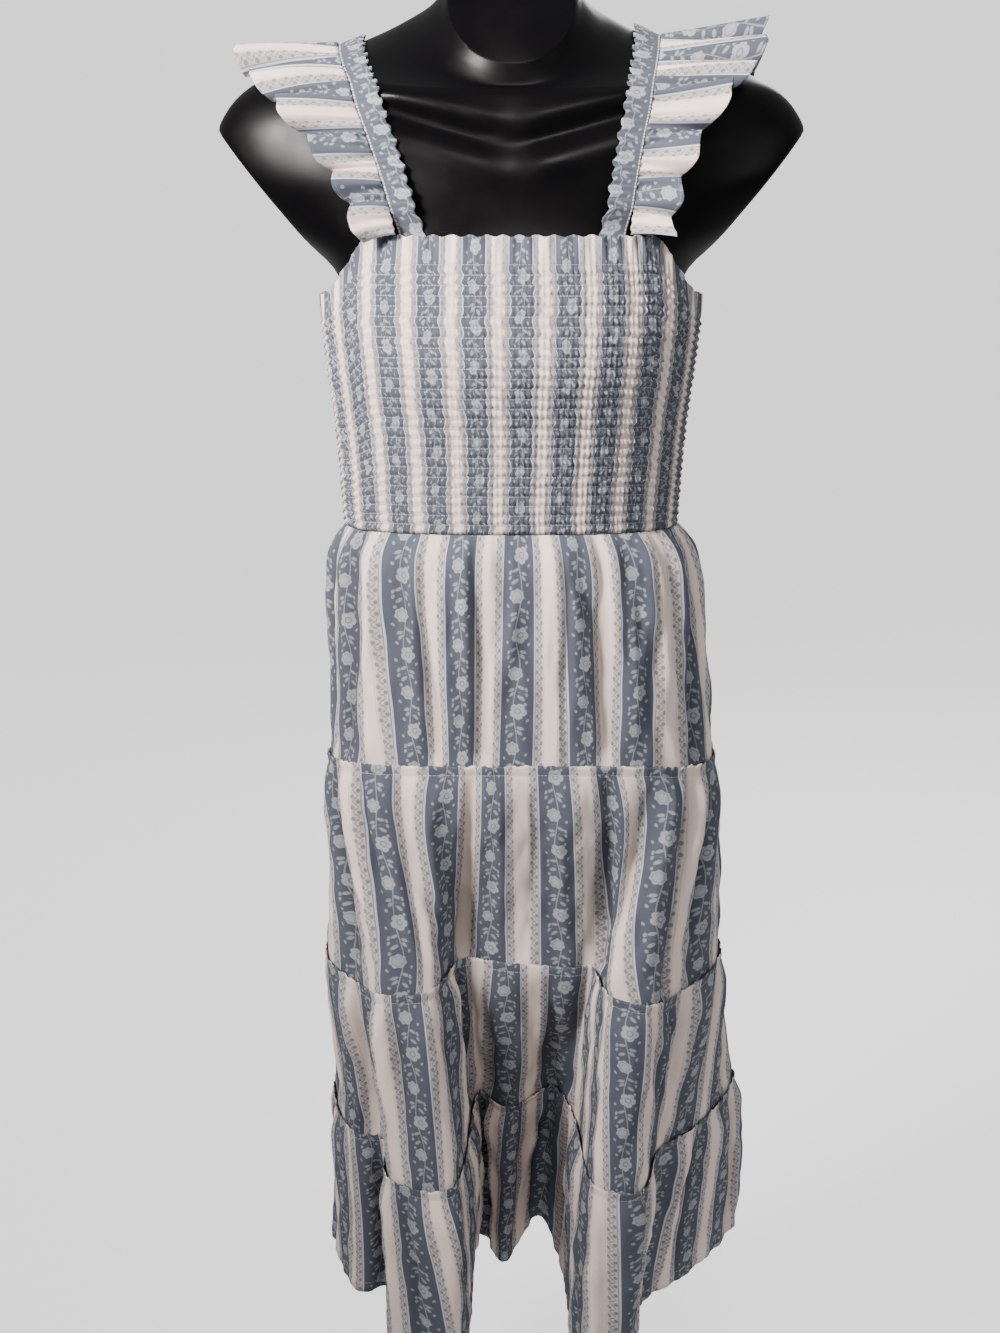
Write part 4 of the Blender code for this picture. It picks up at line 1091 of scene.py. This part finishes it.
StrapLine = namedtuple("StrapLine", "share right left")
STRAP_PATH = tuple(StrapLine(*row) for row in (
    (0.00, 0.064, 0.067), (0.22, 0.086, 0.079), (0.34, 0.100, 0.087),
    (0.52, 0.116, 0.097), (0.66, 0.114, 0.100), (0.82, 0.095, 0.089),
    (1.00, 0.072, 0.074),
))

back_start = len(bodice_pieces[0].data.vertices)
bodice_tree = BVHTree.FromPolygons(
    [v.co.copy() for piece in bodice_pieces for v in piece.data.vertices],
    [tuple(i + start for i in p.vertices)
     for piece, start in zip(bodice_pieces, (0, back_start)) for p in piece.data.polygons])


def nearest_hit(start, way):
    """First thing met on a line: the form or the bodice."""
    hits = [tree.ray_cast(start, way) for tree in (form_tree, bodice_tree)]
    hits = [hit for hit in hits if hit[0] is not None]
    return min(hits, key=lambda hit: hit[3])[0]


def strap_inner_x(side, angle):
    share = (angle + 0.5) / (math.pi + 1.0)
    shares, right, left = columns_of(STRAP_PATH)
    return float(along(shares, right if side < 0 else left, share))


def angle_at(drop, radius):
    """Angle below level, about the straps' centre line, of a place this far down."""
    return math.asin((drop - STRAP_CENTRE_DROP) / radius)


def smooth_points(keys, points, at):
    """Smooth curve through points given at rising keys."""
    return np.stack([along(keys, points[:, k], at) for k in range(3)], axis=-1)


def face_out(side, *grids):
    """The grids with their rows in the order in which the cloth's faces point outwards."""
    return [grid[::-1] if side < 0 else grid for grid in grids]


def taut_line(side, across, angles):
    """Points of a tape pulled tight over the form and the bodice, in a curved plane beside the neck."""
    centre = Vector((0.0, 0.0, SHOULDER_Z - STRAP_CENTRE_DROP))
    found = []
    for angle in angles:
        x = side * (strap_inner_x(side, angle) + across)
        out = Vector((0.0, -math.cos(angle), math.sin(angle)))
        radius = 0.0
        for beside in (-STRAP_WIDTH / 4.0, 0.0, STRAP_WIDTH / 4.0):
            level = Vector((x + beside, 0.0, 0.0)) + centre
            radius = max(radius, (nearest_hit(level + out * 0.5, -out) - level).length)
        found.append((radius, out, x))
    hull = []
    for i, (radius, out, _) in enumerate(found):
        point = out * radius
        while len(hull) > 1 and (hull[-1][1] - hull[-2][1]).cross(point - hull[-1][1]).x > 0.0:
            hull.pop()
        hull.append((i, point))
    line = []
    for i, (_, out, x) in enumerate(found):
        after = next(k for k in range(1, len(hull)) if hull[k][0] >= i) if i else 1
        a = hull[after - 1][1]
        b = hull[after][1]
        across_line = Vector((0.0, (b - a).z, -(b - a).y))
        line.append(centre + Vector((x, 0.0, 0.0)) + out * (a.dot(across_line) / out.dot(across_line)))
    return line


def strap_frames(side):
    """Taut strap lines from the front band to the back band, and the way out of each step."""
    first = -angle_at(TOP_DROP_FRONT + STRAP_LAP, FRONT_BAND_RADIUS)
    last = math.pi + angle_at(TOP_DROP_BACK + STRAP_LAP, BACK_BAND_RADIUS)
    fine = np.linspace(first, last, 2 * STRAP_STEPS + 1)
    lines = np.array([taut_line(side, STRAP_WIDTH * k / 2, fine)[::2] for k in range(3)])
    runs = np.gradient(lines[1], axis=0)
    return fine[::2], lines, unit(np.cross(lines[-1] - lines[0], runs) * side)


def strap(side, word, material):
    """Tape over one shoulder, with small puckers that are deepest at its neck edge."""
    angles, lines, outs = strap_frames(side)
    at = np.linspace(angles[0], angles[-1], STRAP_COLUMNS)
    smooth_lines = [smooth_points(angles, line, at) for line in lines]
    out = unit(smooth_points(angles, outs, at))
    reach = np.append(np.linspace(0.0, 1.0 - 2.0 * STITCH_FROM_EDGE / STRAP_WIDTH, STRAP_LINES - 2),
                      [1.0 - STITCH_FROM_EDGE / STRAP_WIDTH, 1.0])
    length = lengths_across(smooth_lines[1][None])[0]
    rows, runs, hollows = [], [], []
    for r in reach:
        base = smooth_lines[0] * (1 - r) + smooth_lines[-1] * r
        bodice_top = np.where(base[:, 1] < 0.0, TOP_DROP_FRONT, TOP_DROP_BACK)
        kept = np.flatnonzero(SHOULDER_Z - base[:, 2] <= bodice_top + STRAP_TUCK)
        pick = np.linspace(kept[0], kept[-1], STRAP_COLUMNS)
        table = np.column_stack([base, out, length, bodice_top])
        table = np.array([np.interp(pick, np.arange(STRAP_COLUMNS), column) for column in table.T]).T
        base, way, run, bodice_top = table[:, :3], table[:, 3:6], table[:, 6], table[:, 7]
        phase = 2.0 * np.pi * STRAP_PUCKERS * run / length[-1] + 1.3 * np.sin(run * 90.0)
        edge = (1.0 - r) ** 1.4
        pucker = np.sin(phase + 0.6 * r) * (STRAP_PUCKER * edge + STRAP_RIPPLE)
        shirr = STRAP_SHIRR * np.sin(0.5 * phase + 2.0) * (1.0 - r)
        point = base + way * (STRAP_CLEARANCE + STRAP_WALL + pucker + shirr - NECK_EDGE_DIP * edge)[:, None]
        point[:, 0] += -side * edge * (NECK_EDGE_WAVE * np.sin(phase * 0.5 + 1.0) + 0.0006 * np.sin(phase * 0.23))
        behind = ease((SHOULDER_Z - base[:, 2] - bodice_top + BEHIND_START) / BEHIND_SPAN)
        for i in np.flatnonzero(behind > 0.0):
            hit = form_tree.ray_cast(Vector(point[i] + way[i] * 0.1), -Vector(way[i]))[0]
            if hit is not None:
                point[i] = mix(point[i], np.array(hit) + way[i] * STRAP_BEHIND, behind[i])
        rows.append(point)
        runs.append(run)
        # Painted shade in the pucker troughs, deepest at the neck edge.
        hollows.append(-np.sin(phase + 0.6 * r) * (0.25 + 0.55 * edge))
    run = np.array(runs)
    uv = paired(mix(*STRAP_PRINT, reach)[:, None] * side, run * STRAP_FULLNESS)
    seam = paired(run, np.abs(reach - reach[-2])[:, None] * STRAP_WIDTH)
    rows, uv, seam, hollow = face_out(side, np.array(rows), uv, seam, np.array(hollows))
    piece = add_cloth(f"flowered_strap_{word}", rows, uv, seam, hollow, material, [f"strap_{word}"],
                      STRAP_THICKNESS)
    return angles, lines, outs


# Flutter ruffles: a crosswise strip gathered to each strap's outer edge, so that its stripes run outwards.
# It is widest over the shoulder, narrow at both ends, and has a narrow rolled edge.

RUFFLE_WAVES = 11
RUFFLE_WAVE_HEIGHT = 0.0078
RUFFLE_WAVE_LEAN = 0.0040
RUFFLE_EDGE_STEP = 0.0022
RUFFLE_CLEARANCE = 0.0020
RUFFLE_END_RADIUS = 0.087
RUFFLE_COLUMNS = 420
RUFFLE_LINES = 30
RUFFLE_FULLNESS = 1.28
RUFFLE_FIRST_STRIPE = 0.0134
ROLLED_EDGE = 0.0022
RUFFLE_WALL = 0.0014
SECOND_WAVE = 0.0026
TIGHT_GATHER = 0.0020
TIGHT_PITCH = 0.0078
LOOSE_GATHER = 0.0014
LOOSE_PITCH = 0.0135

RuffleLine = namedtuple("RuffleLine", "share right_width right_fall left_width left_fall")
RUFFLE_PATH = tuple(RuffleLine(*row) for row in (
    (0.00, 0.028, 0.006, 0.032, 0.004), (0.10, 0.034, 0.003, 0.034, 0.002),
    (0.18, 0.041, 0.002, 0.040, 0.000), (0.26, 0.054, 0.001, 0.049, -0.001),
    (0.33, 0.061, 0.006, 0.062, -0.001), (0.40, 0.070, 0.014, 0.074, 0.006),
    (0.47, 0.077, 0.011, 0.080, 0.002), (0.54, 0.078, 0.010, 0.080, 0.001),
    (0.62, 0.077, 0.014, 0.078, 0.004), (0.74, 0.062, 0.014, 0.066, 0.010),
    (0.86, 0.044, 0.008, 0.046, 0.008), (1.00, 0.030, 0.006, 0.032, 0.006),
))


def flute_phase(share, side):
    """Phase of the uneven flutes along a ruffle, in radians."""
    uneven = 0.22 * np.sin(2.0 * np.pi * (1.7 * share + 0.1 * side))
    return 2.0 * np.pi * (RUFFLE_WAVES * share + uneven + 0.1 * side)


def ruffle(side, word, angles, lines, outs, material):
    """Flutter ruffle with uneven leaning flutes, tight gathers at its root and a thin rolled edge."""
    first = -angle_at(TOP_DROP_FRONT - 0.002, RUFFLE_END_RADIUS)
    last = math.pi + angle_at(TOP_DROP_BACK - 0.004, RUFFLE_END_RADIUS)
    share = np.linspace(0.0, 1.0, RUFFLE_COLUMNS)
    at = mix(first, last, share)
    root = smooth_points(angles, lines[-1], at)
    out = unit(smooth_points(angles, outs, at))
    shares, *sides = columns_of(RUFFLE_PATH)
    width, fall = (along(shares, column, share) for column in (sides[:2] if side < 0 else sides[2:]))
    middle = np.sin(np.pi * share)
    tall = mix(0.55, 1.0, middle)
    sideways = np.array([side, 0.0, 0.0])
    run = np.cross(np.broadcast_to(sideways, out.shape), out) * side
    aim = unit(sideways + out * mix(0.28, 0.10, middle)[:, None])
    phase = flute_phase(share, side)
    length = lengths_across(root[None])[0]
    tight = waves(length, TIGHT_PITCH, 1.4 * np.sin(length * 70.0))
    second = np.sin(2.0 * phase + 0.9 + 0.7 * np.sin(share * 9.0))
    loose = waves(length, LOOSE_PITCH, 1.1 * np.sin(length * 44.0 + side))
    edge_width = width + RUFFLE_EDGE_STEP * np.sin(phase + 0.7)
    rows, hollows = [], []
    reaches = np.append(np.linspace(0.0, 0.93, RUFFLE_LINES - 3), [0.955, 0.98, 1.0])
    for r in reaches:
        swing = (RUFFLE_WAVE_HEIGHT * np.sin(phase) + SECOND_WAVE * second) * tall * r
        swing += TIGHT_GATHER * tight * np.exp(-r * 1.8) + LOOSE_GATHER * loose * (0.35 + 0.8 * r)
        # Painted shade in the flute troughs, and darker along the root by the strap.
        hollows.append(-swing / FULL_SHADE_DEPTH + 0.25 * np.exp(-r * 9.0))
        point = root + out * (STRAP_CLEARANCE + STRAP_WALL + swing[:, None]) + aim * (edge_width * r)[:, None]
        point += run * (RUFFLE_WAVE_LEAN * tall * np.cos(phase) * r)[:, None]
        point[:, 2] -= fall * r * r
        rows.append(point)
    points = np.array(rows)
    ways = np.broadcast_to(out, points.shape).copy()
    points = lift_off(form_tree, points, ways, RUFFLE_WALL + RUFFLE_CLEARANCE)
    uv = paired(length * RUFFLE_FULLNESS + RUFFLE_FIRST_STRIPE, -reaches[:, None] * width)
    seam = paired(length, np.abs((1.0 - reaches)[:, None] * width - ROLLED_EDGE))
    points, uv, seam, hollow = face_out(side, points, uv, seam, np.array(hollows))
    piece = add_cloth(f"flutter_ruffle_{word}", points, uv, seam, hollow, material, [f"ruffle_{word}"])


strap_cotton = print_cotton("strap print cotton", stitch_pitch=0.0026, thread_half_width=0.0006,
                            thread_cover=1.0, vine_ground=0.20)
ruffle_cotton = print_cotton("ruffle print cotton", stitch_pitch=0.0018, thread_half_width=0.00025,
                             thread_cover=0.35, vine_ground=0.34)
for side, word in ((-1.0, "right"), (1.0, "left")):
    strap_lines = strap(side, word, strap_cotton)
    ruffle(side, word, *strap_lines, ruffle_cotton)

# Floor, backdrop, light and camera: a plain pale floor, soft lamps in front and above, and a view from
# the height of the bodice, looking slightly down.

FLOOR_SIZE = 400.0
FLOOR_GAP = 0.0005
WHITE = (1.0, 1.0, 1.0, 1.0)
WORLD_AT_HORIZON = 0.30
WORLD_OVERHEAD = 0.42
BACKDROP_LIFT = 1.08
CAMERA_PLACE = (-0.009, -1.450, 1.2175)
CAMERA_FALL = 0.25
CAMERA_LENS = 47.2


def camera_lift(tree):
    """Light that only the camera sees, for a pale backdrop."""
    return spread(tree, add_node(tree, "LightPath").outputs["Is Camera Ray"], 0.0, 1.0, 0.0, BACKDROP_LIFT)


floor_mesh = bpy.data.meshes.new("pale_floor")
half_floor = FLOOR_SIZE / 2.0
corners = [(x * half_floor, y * half_floor, 0.0) for x, y in ((-1, -1), (1, -1), (1, 1), (-1, 1))]
floor_mesh.from_pydata(corners, [], [(0, 1, 2, 3)])
floor = bpy.data.objects.new("pale_floor", floor_mesh)
floor.location.z = -FLOOR_GAP
bpy.context.scene.collection.objects.link(floor)
floor_paint, floor_tree, floor_shader = new_material("pale floor")
floor_shader.inputs["Base Color"].default_value = (0.79, 0.79, 0.79, 1.0)
floor_shader.inputs["Roughness"].default_value = 0.85
floor_shader.inputs["Specular IOR Level"].default_value = 0.0
floor_shader.inputs["Emission Color"].default_value = WHITE
floor_tree.links.new(camera_lift(floor_tree), floor_shader.inputs["Emission Strength"])
floor_mesh.materials.append(floor_paint)

world = bpy.data.worlds.new("soft white studio")
world.use_nodes = True
sky = world.node_tree
backdrop = sky.nodes["Background"]
backdrop.inputs["Color"].default_value = WHITE
direction = add_node(sky, "TexCoord").outputs["Generated"]
height = add_node(sky, "SeparateXYZ", {"Vector": direction}).outputs["Z"]
by_height = spread(sky, height, 0.0, 1.0, WORLD_AT_HORIZON, WORLD_OVERHEAD)
light = add_node(sky, "Math", {0: by_height, 1: camera_lift(sky)}, operation="ADD")
sky.links.new(light.outputs[0], backdrop.inputs["Strength"])
bpy.context.scene.world = world


def soft_lamp(name, place, target, size, power, colour=(1.0, 1.0, 1.0), beam=180.0):
    """Soft rectangular lamp aimed at its target. beam is the angle of its light, in degrees."""
    lamp = bpy.data.lights.new(name, "AREA")
    lamp.shape = "RECTANGLE"
    lamp.size, lamp.size_y = size
    lamp.energy = power
    lamp.spread = math.radians(beam)
    lamp.color = colour
    holder = bpy.data.objects.new(name, lamp)
    holder.location = place
    holder.rotation_euler = (Vector(target) - Vector(place)).to_track_quat("-Z", "Y").to_euler()
    bpy.context.scene.collection.objects.link(holder)


soft_lamp("front lamp", (-1.35, -1.30, 2.10), (0.0, 0.0, 1.34), size=(0.60, 0.50), power=16.2,
          colour=(1.0, 0.937, 0.895), beam=54.0)
soft_lamp("high lamp", (0.15, -1.50, 2.55), (0.0, 0.0, 1.25), size=(0.6, 0.4), power=15.0,
          colour=(1.0, 0.960, 0.930))
soft_lamp("fill lamp", (1.9, -1.3, 1.7), (0.0, 0.0, 1.1), size=(0.6, 0.9), power=5.0)
soft_lamp("back lamp", (0.4, 2.4, 2.4), (0.0, 0.0, 0.9), size=(1.4, 1.0), power=30.0)

lens = bpy.data.cameras.new("photo view")
lens.lens = CAMERA_LENS
lens.clip_start = 0.05
camera = bpy.data.objects.new("photo view", lens)
camera.location = CAMERA_PLACE
camera.rotation_euler = Vector((0.0, 1.0, -CAMERA_FALL)).to_track_quat("-Z", "Y").to_euler()
bpy.context.scene.collection.objects.link(camera)
bpy.context.scene.camera = camera
